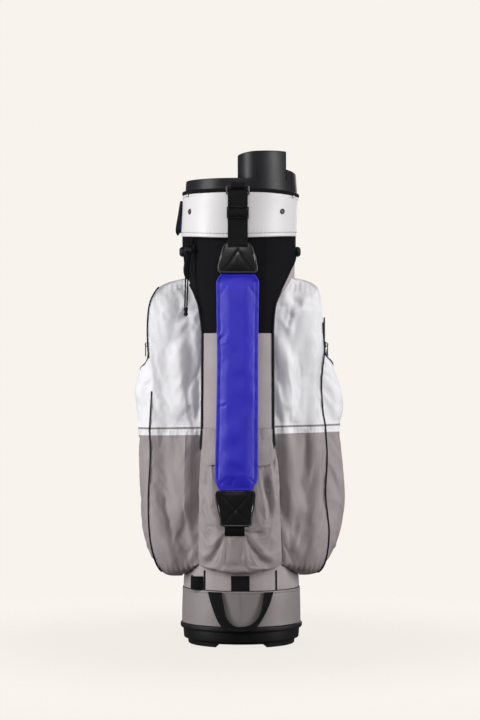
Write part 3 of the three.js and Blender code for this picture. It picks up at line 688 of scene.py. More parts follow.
def umbrella_cord():
    """Two free cords from the collar, through a sprung lock, to a shared end knob."""
    exits = {
        "umbrella_cord_a": [[-104.5, -56, 803], [-103.8, -61, 796]],
        "umbrella_cord_b": [[-93.5, -66, 803], [-96.2, -65, 796]],
    }
    end = np.array([-109.0, -83.0, 668.0])
    rows = knob(32, (0.01, -18, 0), (2.6, -18, 0.6), (4.6, -14.6, 1.5), (3.2, -10, 1.6), (3.6, -8, 1),
                (4.8, -4.4, 2), (3.4, 0, 1), (0.01, 0, 0))
    tail = smooth_line([end + [0, 0, -16], end + [0.6, 0, -17.5], end + [1.0, 0, -18]], 4)
    end_knob = Shape().grid(rows + end, wrap=True).grid(tube(tail, 1.4, 8), wrap=True)
    end_knob = end_knob.piece("cord_end_knob", rubber, slot="rubber", replaces=["cord_end"])

    centre = np.array([-103.1, -66, 779.0])

    def on_lock(rows):
        """Rows made about Z, laid along X at the lock."""
        return rows[..., [2, 0, 1]] + centre

    lock = Shape()
    barrel = knob(32, (0.01, -10, 0), (5.0, -10, 1.4), (6.0, -8, 1), (6.0, 5.5, 1.4), (4.6, 7.5, 1.2),
                  (0.01, 7.5, 0))
    lock.grid(on_lock(barrel), wrap=True)
    for x in (-6.2, 3.8):
        ring = [(5.8, x - 0.9, 0.3), (6.6, x - 0.5, 0.4), (6.6, x + 0.5, 0.4), (5.8, x + 0.9, 0.3)]
        lock.grid(on_lock(lathe(ring, 32)), wrap=True)
    lock = lock.piece("cord_lock_body", plastic, "cord_lock", "mould", ["cord_lock"])
    cap = knob(28, (0.01, -13.2, 0), (3.0, -13.2, 1.2), (3.7, -12, 0.8), (3.7, -6.6, 0.5), (0.01, -6.6, 0))
    button = Shape().grid(on_lock(cap), wrap=True)
    button = button.piece("cord_lock_plunger", rubber, "cord_lock_button", "rubber", ["cord_lock_button"])

    for name, side in (("umbrella_cord_a", -2.2), ("umbrella_cord_b", 2.2)):
        through = [[-101.7 + (z - 779) * 0.135 + side, -66, z] for z in (787, 770, 750)]
        below = [[-107.2 + side, -66.6, 732], [-108.2 + side, -69.4, 702]]
        line = smooth_line([*exits[name], *through, *below, [end[0] + side * 0.9, end[1], 668.8]], 90)
        cord = Shape().grid(tube(line, 1.5, 12), wrap=True)
        cord = cord.piece(f"{name}_braid", cording, slot="cord", replaces=[name])


umbrella_cord()


# ---------------------------------------------------------------- base


def base():
    """The moulded base with its recessed foot, and the rubber rim."""
    rows = lathe([
        (0.01, 7, 0), (84, 7, 0.6), (85, 0, 1.2), (105.6, 0, 2.5), (106.5, 8, 1), (107.5, 11.6, 1.2),
        (114.4, 11.6, 2.2), (116, 31.6, 1.2), (112.6, 31.6, 0.4), (112.6, 14, 0), (0.01, 13, 0),
    ], 256, closed=False, steps=6)
    foot_high, notch = 7.0, 49.0
    recess = 1 - ease(np.abs(rows[..., 0]), notch - 2.2, notch + 0.4)
    z = rows[..., 2]
    rows[..., 2] = np.where(z < foot_high, np.maximum(z, foot_high * recess), z)
    shape = Shape().grid(rows, wrap=True)
    for turn in (45, 135):
        shape.grid(block((176, 4, 6.4), 12, 28, 8) @ spin_z(turn) + [0, 0, 5], wrap=True)
    shape.grid(knob(48, (0.01, 0, 0), (30, 0, 1), (30, 7.2, 0.5), (0.01, 7.2, 0)), wrap=True)
    shape.piece("base_dish", plastic_base, slot="mould", replaces=["base_moulding"])

    rows = lathe([(112.6, 32, 0), (119.6, 32, 1.2), (121.3, 34.6, 1.5), (121.3, 40.2, 1.2), (120.2, 42, 0.8),
                  (112.6, 42, 0)], 256)
    rim = Shape().grid(rows, wrap=True)
    rim.piece("base_rubber_rim", rubber, slot="rubber", replaces=["base_rim"])


CUFF = (42.4, 111.6)  # the cuff's lower and upper edge


def cuff_r(z):
    """The cuff's radius at a height."""
    return np.interp(z, CUFF, (118.3, 117.2))


def cuff():
    """The leather cuff: a faint sag between its hems, a back seam, and a rolled and stitched top edge."""
    az = np.linspace(0, 360, 300, endpoint=False)
    z = np.concatenate([[CUFF[0], 43.4], np.linspace(45, 104, 26), [106, 107.4, 108.6, 110, 111.2, CUFF[1]]])
    radius = cuff_r(z) - 0.5 * hump(z, 106.6, 1.2)
    radius[[0, -2, -1]] -= (1.2, 0.4, 1.4)
    rows = polar(az[None, :], radius[:, None], z[:, None])
    seam = hump((az[None, :] + 180) % 360 - 180, -0.6, 0.45)
    soft = 0.35 * ripples(np.radians(az)[None, :] * 117, z[:, None], 60, 4)
    push = soft * ramp(z[:, None] - 44, 20) * ramp(106 - z[:, None], 20) - 0.7 * seam
    rows += push[..., None] * polar(az[None, :], 1.0, 0.0)
    top = polar(az[None, :], np.array([[115.4], [114.2]]), np.array([[CUFF[1]], [110.4]]))
    shape = Shape().grid(np.vstack([rows, top]), wrap=True)
    shape.piece("base_leather_cuff", leather_taupe, slot="taupe_leather", replaces=["base_cuff"])

    around = np.linspace(0, 360, 400)
    lines = [(polar(around, cuff_r(106.6) - 0.2, 106.6), 4.2, 1.4, 0.3)]
    z = np.linspace(45, 105, 20)
    for x in (-2.4, 1.2):
        line = np.column_stack([np.full(20, x), 0.1 - np.sqrt(cuff_r(z) ** 2 - x * x), z])
        lines.append((line, 3.6, 1.2, 0.25))
    sew("cuff_stitching", thread_taupe, "taupe_leather", lines)
    edge = Shape().grid(tube(polar(around, 115.6, 112.0), 0.9, 8, ends=False), wrap=True)
    edge.piece("cuff_top_roll", piping, slot="black_fabric")


# ---------------------------------------------------------------- cover and collar

# The black back panel's two edges: heights, and azimuths there. Its lower edge is at PANEL_LOW.
PANEL_LOW, COVER_LOW, COVER_TOP = 616, 46.0, 812.0
PANEL_LEFT = [(616, -44.4), (644, -47), (671, -51), (688, -56.7), (710, -68), (728, -81), (750, -96),
              (778, -108), (812, -116)]
PANEL_RIGHT = [(616, 34.6), (640, 35.4), (671, 38.1), (693, 44), (712, 50.7), (734, 60.6), (751, 71),
               (764, 81), (785, 98), (812, 112)]


def edge_azimuth(z, edge):
    """The azimuth at a height of an edge given by points (height, azimuth)."""
    line = smooth_line(edge, 200)
    return np.interp(z, line[:, 0], line[:, 1])


def cover_skin(az, z):
    """The cover's surface: nearly true to the tube, with faint vertical waves in the cloth."""
    arc = np.radians(az) * 110
    wave = 0.22 * ripples(arc, z * 0.25, 34, 11, (-0.25, 0.25)) + 0.12 * ripples(arc, z, 90, 12)
    around = (az + 180) % 360 - 180
    slack_left = (7.0 + 4.5 * ease(z, 745, 800)) * hump(around, -92, 30) * ease(z, 692, 750)
    slack_right = 2.5 * hump(around, 92, 30) * ease(z, 740, 780)
    slack_low = 2.4 * (1 - ease(z, 112, 165)) * ease(z, 108, 116) * ease(np.abs(around), 30, 70)
    return cover_r(z) - 0.15 + wave + slack_left + slack_right + slack_low


def cover():
    """The light body cloth, and the black panel let into its back."""
    z_low = np.linspace(COVER_LOW, PANEL_LOW, 120)[:, None]
    z = np.linspace(PANEL_LOW, COVER_TOP, 60)[:, None]
    left, right = edge_azimuth(z, PANEL_LEFT), edge_azimuth(z, PANEL_RIGHT)
    az = np.linspace(0, 360, 180, endpoint=False)[None, :]
    body = Shape().grid(polar(az, cover_skin(az, z_low), z_low), wrap=True)
    az = (right - 1) + (left + 361 - (right - 1)) * np.linspace(0, 1, 150)[None, :]
    body.grid(polar(az, cover_skin(az, z), z))
    body.piece("body_cloth", fabric_body, slot="taupe_fabric", replaces=["body_cover"])

    az = left + (right - left) * np.linspace(0, 1, 120)[None, :]
    lift = np.full(az.shape, 0.7)
    lift[:, [0, -1]] = -0.4
    lift[[0, -1], :] = -0.4
    panel = Shape().grid(polar(az, cover_skin(az, z) + lift, z))
    panel.piece("black_back_panel", fabric_black, slot="black_fabric", replaces=["upper_back_panel"])


def yz_band(shape, yz, middle, width, thick, count, finish=0):
    """A band of webbing that lies across X and runs along points in Y and Z."""
    line = smooth_line(yz, count)
    path = np.column_stack([np.full(count, middle), line])
    shape.grid(flat_band(path, ACROSS, side_normals(line), width, thick), wrap=True, finish=finish, caps=True)


def cover_piping():
    """Black piping down both sides of the spine, and along the black panel's spreading edges."""
    shape = Shape()
    for edge, low in ((PANEL_LEFT, 390), (PANEL_RIGHT, 398)):
        z = np.linspace(low, 804, 220)
        az = np.where(z < PANEL_LOW, edge[0][1], edge_azimuth(z, edge))
        over_pocket = 3.0 * (1 - ease(z, 400, 432))
        line = polar(az, cover_skin(az, z) + 1.2 + over_pocket, z)
        shape.grid(tube(line, 2.5 - 0.9 * ease(z, 640, 720)), wrap=True)
    tab = [(-96.6, 405), (-97.6, 401), (-97.8, 393), (-96.8, 389.5)]
    yz_band(shape, tab, 60.0, 9.5, 2.2, 12)
    z = np.linspace(112, 150, 16)
    for az in (-39.5, 37.0):
        shape.grid(tube(polar(az, cover_r(z) + 0.9, z), 1.7), wrap=True)
    shape.piece("spine_piping", piping, slot="black_fabric")


def lean_collar(points):
    """The collar as it sits: its back half leans to the left lower down, and its rim drops on the right."""
    points = np.array(points, float)
    x, y, z = points[..., 0], points[..., 1], points[..., 2]
    az = np.degrees(np.arctan2(x, -y))
    back = ease(np.cos(np.radians(az)), -0.75, -0.1)
    points[..., 2] -= 4.2 * ease(az, 20, 85) * (1 - ease(az, 110, 150)) * ease(z, 830, 885)
    points[..., 0] -= (1.2 + 3.6 * np.clip((891 - z) / 85, 0, 1)) * back
    return points


def collar_low(az):
    """The collar's lower edge, which dips at the back behind the strap."""
    return 811.0 - 8.5 * hump(az, -5, 62.0)


def collar():
    """The white leather collar with its stitched hem, and the webbing binding above it."""
    top = 891.4
    az = np.linspace(-180, 180, 360, endpoint=False)
    near_low, near_top = [0, 0.008, 0.02, 0.04, 0.07, 0.1, 0.125, 0.15, 0.18], [0.99, 1.0]
    share = np.concatenate([near_low, np.linspace(0.22, 0.97, 26), near_top])
    low = collar_low(az)[None, :]
    z = low + (top - low) * share[:, None]
    arc = np.radians(az)[None, :] * 116
    pucker = 0.18 * np.sin(arc / 9.0 * 2 * math.pi) * hump(z, low + 9, 7.0)
    slack = 0.5 * ripples(arc, z, 95, 7) * ramp(z - low, 20) * ramp(891 - z, 20)
    radius = np.interp(z, (806, 875), (115.0, 116.0)) - 0.55 * hump(z, low + 8.0, 1.6) + pucker + slack
    radius[[0, 1, -1]] -= np.array([[1.5], [0.4], [1.0]])
    under = polar(az[None, :], np.array([[112.5], [111.5]]), low + [[0.0], [4.0]])
    inside = polar(az[None, :], 110.4, np.array([[840.0], [top]]))
    rows = np.vstack([inside[::-1], under[::-1], polar(az[None, :], radius, z), inside[1:]])
    shape = Shape().grid(lean_collar(rows), wrap=True)
    shape.piece("collar_leather", leather_white, slot="white_leather", replaces=["collar_band"])

    az = np.linspace(-180, 180, 500)
    sew("collar_stitching", thread_light, "white_leather", [
        (lean_collar(polar(az, 115.2, collar_low(az) + 8.0)), 7.0, 2.6, 0.5),
        (lean_collar(polar(az, 116.05, 886.5)), 5.0, 1.6, 0.3),
    ])
    rows = lathe([(112.4, 891.8, 0), (116.2, 891.8, 0.8), (117, 893.8, 1.2), (116.8, 897.6, 1.6),
                  (115.4, 899, 0.8), (112.4, 899, 0)], 256)
    binding = Shape().grid(lean_collar(rows), wrap=True)
    binding.piece("collar_webbing_binding", webbing, slot="webbing", replaces=["collar_binding"])


def fittings():
    """Rivets and snaps of the collar, and the two rubber posts that hold the rain hood."""
    rivet = knob(40, (0.01, 1.9, 0), (1.6, 1.8, 0.6), (2.2, 0.7, 0.2), (3.0, 0.8, 0.3), (3.8, 2.4, 0.8),
                 (5.5, 1.4, 1.0), (5.5, -1.0, 0), (0.01, -1.0, 0))
    snap = knob(32, (0.01, 1.8, 0), (1.5, 1.8, 0.4), (1.9, 0.9, 0.3), (3.1, 0.8, 0.4), (3.1, -1.6, 0),
                (0.01, -1.6, 0))
    post = knob(48, (0.01, 0, 0), (8.8, 0, 0.5), (8.2, 1.6, 0.6), (9.8, 2.6, 1), (10.4, 6.2, 3),
                (7.8, 11.2, 4), (2.8, 12, 1.2), (2.2, 11.2, 0.5), (0.01, 11.2, 0))
    for side, az in (("left", -58.5), ("right", 46)):
        shape = Shape().grid(lean_collar(outward(rivet, az, 116.0, 856.5)), wrap=True)
        shape.piece(f"rivet_{side}", gunmetal, slot="metal", replaces=[f"collar_rivet_{side}"])
    for side, az in (("left", -63), ("right", 62)):
        shape = Shape().grid(lean_collar(outward(snap, az, 118.3, 889)), wrap=True)
        shape.piece(f"snap_{side}", nickel, slot="metal", replaces=[f"hood_snap_{side}"])
    for side, az, foot in (("left", -90, 5.6), ("right", 90, 0.6)):
        shape = Shape().grid(outward(post, az, cover_r(780) + foot, 780), wrap=True)
        shape.piece(f"hood_button_{side}", rubber, slot="rubber", replaces=[f"hood_post_{side}"])


# ---------------------------------------------------------------- organizer top

RING_LOW, RING_TOP = 892.0, 918.0
WELL_FOOT, WELL_WALL, WELL_LIP = 893.0, 3.5, 2.2


def ring_r(z):
    """The moulded ring's outer radius at a height."""
    return 112 - 1.6 * (z - RING_LOW) / (RING_TOP - RING_LOW)


def top_ring():
    """The moulded ring round the wells, a little higher on its left."""
    rows = lathe([
        (105, 850, 0), (109.7, 850, 0.8), (109.7, 892, 0.4), (112, 892, 0.8), (ring_r(913), 913, 0),
        (110.3, 918, 2.4), (106.2, 918, 1.6), (106, 887, 0.5), (105, 885, 0),
    ], 256, steps=7)
    rows[..., 2] += 1.8 * ease(rows[..., 2], 900, 917) * (1 - ease(rows[..., 0], -20, 50))
    Shape().grid(rows, wrap=True).piece("organizer_ring", plastic, slot="mould", replaces=["top_ring"])


def ray_to_circle(direction, start, centre, radius):
    """The distance from a start inside a circle to the circle, along unit directions."""
    to_start = np.asarray(start, float) - centre
    b = direction @ to_start
    return -b + np.sqrt(b * b - to_start @ to_start + radius**2)


def soft_least(values, blend):
    """The least of several distances, rounded over where two are nearly equal."""
    values = np.stack(values)
    least = values.min(axis=0)
    return least - blend * np.log(np.exp(-(values - least) / blend).sum(axis=0))


def well(name, node, middle, outline, top):
    """A raised well: its wall follows outline(directions, z, inset), up to the sloping plane top(x, y)."""
    turn = np.linspace(0, 2 * math.pi, 220, endpoint=False)
    direction = np.stack([np.cos(turn), np.sin(turn)], axis=1)

    def row(height, inset):
        """The wall's outline where its height(of the top) is reached."""
        flat = middle + direction * outline(direction, RING_TOP, inset)[:, None]
        for _ in range(3):
            z = height(top(flat[:, 0], flat[:, 1]))
            flat = middle + direction * outline(direction, z, inset)[:, None]
        return np.column_stack([flat, z])

    def shoulder(z_top):
        return z_top - WELL_LIP

    def side(share, inset):
        """A row of the wall's outer or inner side, at a share of its height."""
        return row(lambda z_top: WELL_FOOT + (shoulder(z_top) - WELL_FOOT) * share, inset)

    def lip(turn):
        """A row round the lip, from its outer edge at no turn over to its inner one."""
        inset = WELL_WALL / 2 * (1 - math.cos(turn))
        return row(lambda z_top: shoulder(z_top) + WELL_LIP * math.sin(turn) ** 0.7, inset)

    rows = [side(share, 0.0) for share in np.linspace(0, 1, 22)]
    rows += [lip(turn) for turn in np.linspace(0, math.pi, 9)[1:-1]]
    rows += [side(share, WELL_WALL) for share in np.linspace(1, 0, 12)]
    rows.append(rows[0])
    Shape().grid(rows, wrap=True).piece(name, plastic, slot="mould", replaces=[node])


def wells():
    """The round putter well, and the lower well in the space beside it."""
    putter, radius = np.array([40.6, -59.6]), 48.0
    side = np.array([75.0, 18.0])
    far = 1e3

    def ring_reach(direction, middle, z, inset):
        """How far it is to the moulded ring's wall, at a height for each direction."""
        radii = ring_r(np.broadcast_to(z, len(direction))) - 0.15 - inset
        return np.array([ray_to_circle(d[None], middle, np.zeros(2), r)[0] for d, r in zip(direction, radii)])

    def putter_outline(direction, z, inset):
        round_wall = ray_to_circle(direction, putter, putter, radius - inset)
        return soft_least([round_wall, ring_reach(direction, putter, z, inset)], 0.45)

    def side_outline(direction, z, inset):
        dx, dy = direction.T
        left = np.where(dx < -0.01, (40 + inset - side[0]) / np.minimum(dx, -0.01), far)
        front = np.where(dy > 0.01, (60 - inset - side[1]) / np.maximum(dy, 0.01), far)
        to = side - putter
        b = direction @ to
        hit = b * b - to @ to + (radius - 1.6 + inset * 1.4) ** 2
        near = np.where((hit > 0) & (b < 0), -b - np.sqrt(np.maximum(hit, 0)), far)
        return soft_least([left, front, near, ring_reach(direction, side, z, inset)], 0.9)

    well("putter_well_wall", "putter_well", putter, putter_outline,
         lambda x, y: 974 + 0.0911 * (x - 32.6) - 0.0769 * (y + 107))
    well("side_well_wall", "side_well", side, side_outline, lambda x, y: 932.5 - 0.1192 * y)


def dividers():
    """The full-length divider sheets: padded tops over the CAD sheets, which stay as they are."""
    lines = {
        "divider_back": [(-101, -10, -16, -10), (-9, -101, -9, -12), (-87, -51, -11, -51),
                         (-52, -49, -52, -12)],
        "divider_middle": [(-97, 30.5, 34, 30.5), (-57, -8, -57, 29), (-11, -8, -11, 29)],
        "divider_front": [(-73, 69.5, 73, 69.5), (-50, 33, -50, 68), (-3, 33, -3, 68), (-25, 71, -25, 97),
                          (25, 71, 25, 97)],
    }
    looks = {"tube_liner": plastic_base}
    for node, spans in lines.items():
        top = Shape()
        for x0, y0, x1, y1 in spans:
            line = smooth_line([(x0, y0, 904), ((x0 + x1) / 2, (y0 + y1) / 2, 903), (x1, y1, 904)], 24)
            top.grid(tube(line, 2.6), wrap=True)
        top.piece(f"{node}_edge", webbing, slot="webbing")
        looks[node] = fabric_black
    for node, material in looks.items():
        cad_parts[node].data.materials.clear()
        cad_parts[node].data.materials.append(material)


base()
cuff()
cover()
collar()
fittings()
top_ring()
wells()
dividers()


# ---------------------------------------------------------------- shoulder strap

ACROSS = np.array([1.0, 0, 0])
TO_BACK = np.array([0, -1.0, 0])
STRAP_MID = -7.0  # the middle of the strap at the collar


def strap_x(z):
    """The strap's middle, which hangs a little to the left lower down."""
    return np.interp(z, (240, 305, 340, 500, 733), (-10.4, -11.6, -9.6, -7.6, STRAP_MID))


def side_normals(line):
    """For a line in Y and Z, the direction out of a band that runs along it, to the left of its travel."""
    tangent = unit(np.gradient(line, axis=0))
    return np.stack([np.zeros(len(line)), -tangent[:, 1], tangent[:, 0]], axis=1)


def frame_loop(half_width, low, high, rounding, y, steps, section):
    """Rows of a closed rectangular frame behind the strap: its section is (outward, back, points)."""
    corners = [(-half_width, low), (half_width, low), (half_width, high), (-half_width, high)]
    line = evenly(rounded([(*corner, rounding) for corner in corners], 6, closed=True), steps + 1)[:-1]
    path = np.column_stack([line[:, 0] + STRAP_MID, np.full(steps, y), line[:, 1]])
    out = unit(path - path.mean(axis=0))
    outward_by, back_by, points = section
    turn = np.linspace(0, 2 * math.pi, points, endpoint=False)[None, :, None]
    rows = path[:, None] + outward_by * np.cos(turn) * out[:, None] + back_by * np.sin(turn) * TO_BACK
    return np.vstack([rows, rows[:1]])


def strap_hardware():
    """The strap's ring with its keeper, the webbing through it, and the slider on the webbing."""
    ring = Shape().grid(frame_loop(21.7, 886.2, 903.4, 3.4, -120.4, 96, (1.5, 1.5, 12)), wrap=True)
    ring.piece("strap_wire_ring", gunmetal, slot="metal", replaces=["strap_ring"])

    keeper = Shape()
    yz_band(keeper, [(-115.6, 899.9), (-115.4, 905.5), (-117.4, 909.2), (-121.0, 909.9), (-123.4, 906.6),
                     (-123.2, 901.6), (-121.6, 900.0)], STRAP_MID, 26, 1.5, 30)
    keeper.piece("strap_ring_tab", webbing, slot="webbing", replaces=["strap_ring_keeper"])

    web = Shape()
    front = [(-127.8, 783.5), (-126.6, 790), (-123.6, 799), (-121.7, 815), (-121.0, 834), (-122.8, 842),
             (-123.0, 876)]
    loop = [(-123.6, 888), (-123.0, 892), (-120.6, 893.2), (-118.6, 891.6), (-118.2, 886)]
    yz_band(web, [*front, *loop, (-118.4, 876), (-118.6, 850), (-119.4, 838)], STRAP_MID, 39, 1.5, 120)
    web.piece("strap_webbing_upper", webbing, slot="webbing", replaces=["strap_web_upper"])
    z = np.linspace(787, 803, 8)
    y = np.interp(z, (784, 790, 799, 815), (-128.6, -127.4, -124.4, -122.5))
    lines = [(np.column_stack([np.full(8, STRAP_MID + x), y, z]), 3.4, 1.1, 0.28) for x in (-17.2, 17.2)]
    for z in (787, 790.5):
        lines.append(([(STRAP_MID - 17, -128.2, z), (STRAP_MID + 17, -128.2, z)], 3.2, 1.0, 0.28))
    sew("strap_webbing_stitching", thread_black, "webbing", lines)

    mid_z = 851.0
    rows = frame_loop(19.4, mid_z - 10.6, mid_z + 10.6, 3, -122.6, 80, (2.0, 3.2, 14))
    slider = Shape().grid(rows, wrap=True)
    for x in (-20.2, 20.2):
        slider.grid(block((2.6, 8.0, 23.4), 6, 20, 8) + [STRAP_MID + x, -121.6, mid_z], wrap=True)
    slider.grid(tube([(STRAP_MID - 19, -124.2, mid_z), (STRAP_MID + 19, -124.2, mid_z)], 2.1, 12), wrap=True)
    over_bar = [(-122.2, mid_z - 8.0), (-125.4, mid_z - 6.0), (-127.2, mid_z - 0.8), (-125.6, mid_z + 4.4),
                (-122.4, mid_z + 6.2)]
    yz_band(slider, over_bar, STRAP_MID, 36, 1.2, 24, finish=1)
    slider.piece("strap_slider_frame", [plastic, webbing], "strap_slider", "mould", ["strap_slider"])


def leather_end(name, node, heights, half_widths, y_front, cross):
    """A padded leather end of the strap: a rolled edge, a sewn border and a sewn cross."""
    low, high = heights[0], heights[-1]
    corner_size, dome, dome_over = 9.5, 4.6, 26

    def front_y(z):
        return np.interp(z, (low, high), y_front)

    def end_distance(z):
        return np.minimum(z - low, high - z)

    z = np.linspace(low, high, 72)
    inset = end_distance(z)
    half = np.interp(z, heights, half_widths) - corner_size * (1 - ramp(inset, corner_size))
    share = np.sin(np.linspace(-math.pi / 2, math.pi / 2, 41))
    x = strap_x(z)[:, None] + half[:, None] * share
    edge = np.minimum(half[:, None] * (1 - np.abs(share)), inset[:, None])
    y_mid = front_y(z)[:, None] + 2.6
    grid_z = np.broadcast_to(z[:, None], x.shape)
    roll = 2.3 * ramp(edge, 2.0) - 1.3 * ease(edge, 2.4, 4.2)
    body = dome * (1 - share**2) * ramp(inset[:, None], dome_over)
    sewn = creases(x, grid_z, [(*a, *b, 1.9, -1.2) for a, b in cross])
    front = y_mid - 0.4 - roll - body - sewn
    back = y_mid + 1.4 * ramp(edge, 1.5)
    rows = two_faces(np.stack([x, front, grid_z], -1), np.stack([x, back, grid_z], -1))
    Shape().grid(rows, wrap=True, caps=True).piece(name, leather_black, slot="black_leather", replaces=[node])

    def on_face(points):
        x, z = evenly(points, 60).T
        across = (x - strap_x(z)) / np.interp(z, heights, half_widths)
        lift = dome * (1 - across**2) * ramp(end_distance(z), dome_over)
        return np.column_stack([x, front_y(z) + 0.4 - lift, z])

    z = z[(z > low + 4) & (z < high - 4)]
    border = np.interp(z, heights, half_widths) - 3.6
    left, right = (np.column_stack([strap_x(z) + sign * border, z]) for sign in (-1, 1))
    loop = np.vstack([left, right[::-1], left[:1]])
    lines = [(np.column_stack([loop[:, 0], front_y(loop[:, 1]) + 0.9, loop[:, 1]]), 3.4, 1.1, 0.3)]
    lines += [(on_face([a, b]), 3.2, 1.0, 0.26) for a, b in cross]
    sew(f"{name}_stitching", thread_black, "black_leather", lines)


def strap_leather():
    """The strap's two leather ends, and the webbing from the lower one into the back pocket."""
    leather_end(
        "strap_leather_upper", "strap_end_upper",
        (731, 745, 765, 780, 794), (39.5, 39.2, 35.5, 30.5, 25), (-129.0, -124.2),
        [((-31, 739), (-4, 781)), ((17, 739), (-10, 781))],
    )
    leather_end(
        "strap_leather_lower", "strap_end_lower",
        (239.5, 258, 281.6, 299.4, 311), (31, 31.8, 37, 39.8, 40.5), (-145.6, -145.4),
        [((-34, 248), (16, 303)), ((14, 248), (-40, 303))],
    )
    web = Shape()
    yz_band(web, [(-142.6, 246), (-141.4, 236), (-138, 229), (-130.5, 221.5)], -13, 39, 1.6, 24)
    web.piece("strap_webbing_lower", webbing, slot="webbing", replaces=["strap_web_lower"])


# The pad's back face: heights, and Y there.
PAD_BACK = ((311, 335, 410, 490, 570, 650, 715, 732),
            (-137.5, -134.5, -132.5, -129, -125, -120.5, -117.5, -120.5))


def strap_pad():
    """The blue pad: a pillow sewn down inside a flat edge, a little creased on the left."""
    z = np.linspace(309.4, 731.5, 230)
    half = np.interp(z, (309, 314, 319, 325, 331, 345, 430, 560, 690, 709, 717, 724, 729, 732),
                     (31.5, 33.4, 36, 39.4, 41.4, 42, 41, 40, 41.4, 42, 41.6, 38, 34.4, 31))
    share = np.sin(np.linspace(-math.pi / 2, math.pi / 2, 61))
    x = strap_x(z)[:, None] + half[:, None] * share
    grid_z = np.broadcast_to(z[:, None], x.shape)
    inset = np.minimum(z - z[0], z[-1] - z)[:, None]
    edge = np.minimum(half[:, None] * (1 - np.abs(share)), inset)
    seam = 7.4  # from the edge to the seam
    flange = 5 + 3 * ramp(edge, 1.8)
    groove = -0.55 * hump(edge, seam, 0.9) * ease(inset, 8, 30)
    swell = np.clip((edge - seam + 1.5) / 25, 0, 1)
    pillow = 6.4 * np.sin(0.5 * math.pi * swell) * (0.35 + 0.65 * ease(inset, 2, 34))
    folds = creases(x, grid_z, [
        (-47, 598, -30, 612, 2.6, -1.1), (-46, 606, -34, 622, 2.2, 0.8), (-44, 592, -26, 600, 2.4, 0.7),
        (-48, 470, -28, 476, 2.2, -0.9), (-48, 477, -30, 484, 2.4, 0.7), (-46, 560, -34, 566, 3, 0.5),
        (-14, 690, 22, 640, 8, 0.5), (-30, 380, 14, 352, 9, 0.6), (20, 520, 30, 430, 5, 0.5),
        (-42, 322, -24, 336, 2.6, -0.9), (-20, 318, -12, 336, 2.6, -0.7), (18, 318, 8, 334, 2.6, -0.7),
        (30, 322, 12, 336, 2.6, -0.9), (26, 690, 12, 712, 3, -0.7), (-40, 690, -28, 710, 3, -0.7),
    ])
    uneven = 0.5 * ripples(x, grid_z, 60, 21) * ramp(edge - seam, 14)
    upright = (math.pi / 2 - 0.1, math.pi / 2 + 0.1)
    edge_wave = 0.5 * ripples(0 * x, grid_z, 26, 22, upright) * hump(edge, 0, 7)
    back_y = np.interp(z, *PAD_BACK)[:, None]
    front = back_y - (flange + groove + pillow + folds + uneven + edge_wave)
    behind = back_y - (5 - 3 * ramp(edge, 1.8) - 2 * ramp(edge - seam, 12) + edge_wave)
    rows = two_faces(np.stack([x, front, grid_z], -1), np.stack([x, behind, grid_z], -1))
    pad = Shape().grid(rows, wrap=True, caps=True)
    pad = pad.piece("shoulder_pad", fabric_pad, slot="pad_fabric", replaces=["strap_pad"], sharp=60)

    inner = (z > 320) & (z < 722)
    z, half = z[inner], half[inner]
    y = np.interp(z, *PAD_BACK) - 6.9
    sew("shoulder_pad_stitching", thread_blue, "pad_fabric", [
        (np.column_stack([strap_x(z) + sign * (half - seam), y, z]), 4.0, 1.3, 0.28) for _, sign in SIDES
    ])


# ---------------------------------------------------------------- grab handle and webbing on the base

HANDLE_TOP = 110
# The loop's outer and inner edge: x, and height from HANDLE_TOP.
HANDLE_OUT = [(-66, 0), (-57, -30), (-45, -58), (-31, -71), (0, -75.5), (27, -69), (41, -52), (55, -25),
              (63, 0)]
HANDLE_IN = [(-38.5, 0), (-35, -22), (-29, -48), (-16, -63), (0, -66), (20, -61), (35, -45), (42, -20),
             (44, 0)]


def grab_handle():
    """The webbing loop that hangs over the cuff and bends round it."""
    outside, inside = smooth_line(HANDLE_OUT, 90), smooth_line(HANDLE_IN, 90)

    def round_cuff(flat, lift):
        """Points of the loop's plane, laid round the cuff at a lift above it."""
        z = HANDLE_TOP + flat[..., 1]
        radius = np.interp(z, (30, 110), (123.6, 118.9)) + lift
        return np.stack([flat[..., 0], -np.sqrt(radius**2 - flat[..., 0] ** 2), z], -1)

    share = np.linspace(0, 1, 13)[None, :, None]
    flat = outside[:, None] * (1 - share) + inside[:, None] * share
    edge = np.minimum(share[..., 0], 1 - share[..., 0])
    thick = 1.5 * ramp(edge, 0.12) + 0.5 * hump(edge, 0.1, 0.05)
    rows = two_faces(round_cuff(flat, 1.6 + thick), round_cuff(flat, 1.6 - thick))
    shape = Shape().grid(rows, wrap=True, caps=True)
    shape.piece("grab_handle_webbing", webbing, "grab_handle", "webbing", ["grab_handle"])
    sew("grab_handle_stitching", thread_black, "webbing", [
        (round_cuff(outside * (1 - at) + inside * at, 3.2)[3:-3], 3.6, 1.2, 0.28) for at in (0.14, 0.86)
    ], "grab_handle")


def tube_patch(name, node, az, z, arch):
    """A strip of webbing sewn to the tube between two azimuths and two heights, and arched between them."""
    share, thick = np.linspace(0, 1, 24), 1.5
    at = (az[0] + (az[1] - az[0]) * share)[None, :]
    height = np.linspace(z[0], z[1], 10)[:, None]
    edge = 0.5 * thick * ramp(np.minimum(height - z[0], z[1] - height), 1.0)
    lift = (1.2 + arch * np.sin(math.pi * share))[None, :]
    outer, inner = (polar(at, cover_r(height) + lift + sign * edge, height) for sign in (1, -1))
    shape = Shape().grid(two_faces(outer, inner), wrap=True, caps=True)
    shape.piece(name, webbing, slot="webbing", replaces=[node])


def base_webbing():
    """The two webbing strips above the cuff: a flat one, and a sleeve for an umbrella's tip."""
    tube_patch("anchor_patch", "strap_anchor_web", (-10, 8), (112.4, 142), 0.8)
    tube_patch("umbrella_tip_sleeve", "umbrella_sleeve", (-58, -41), (112.4, 139), 12)


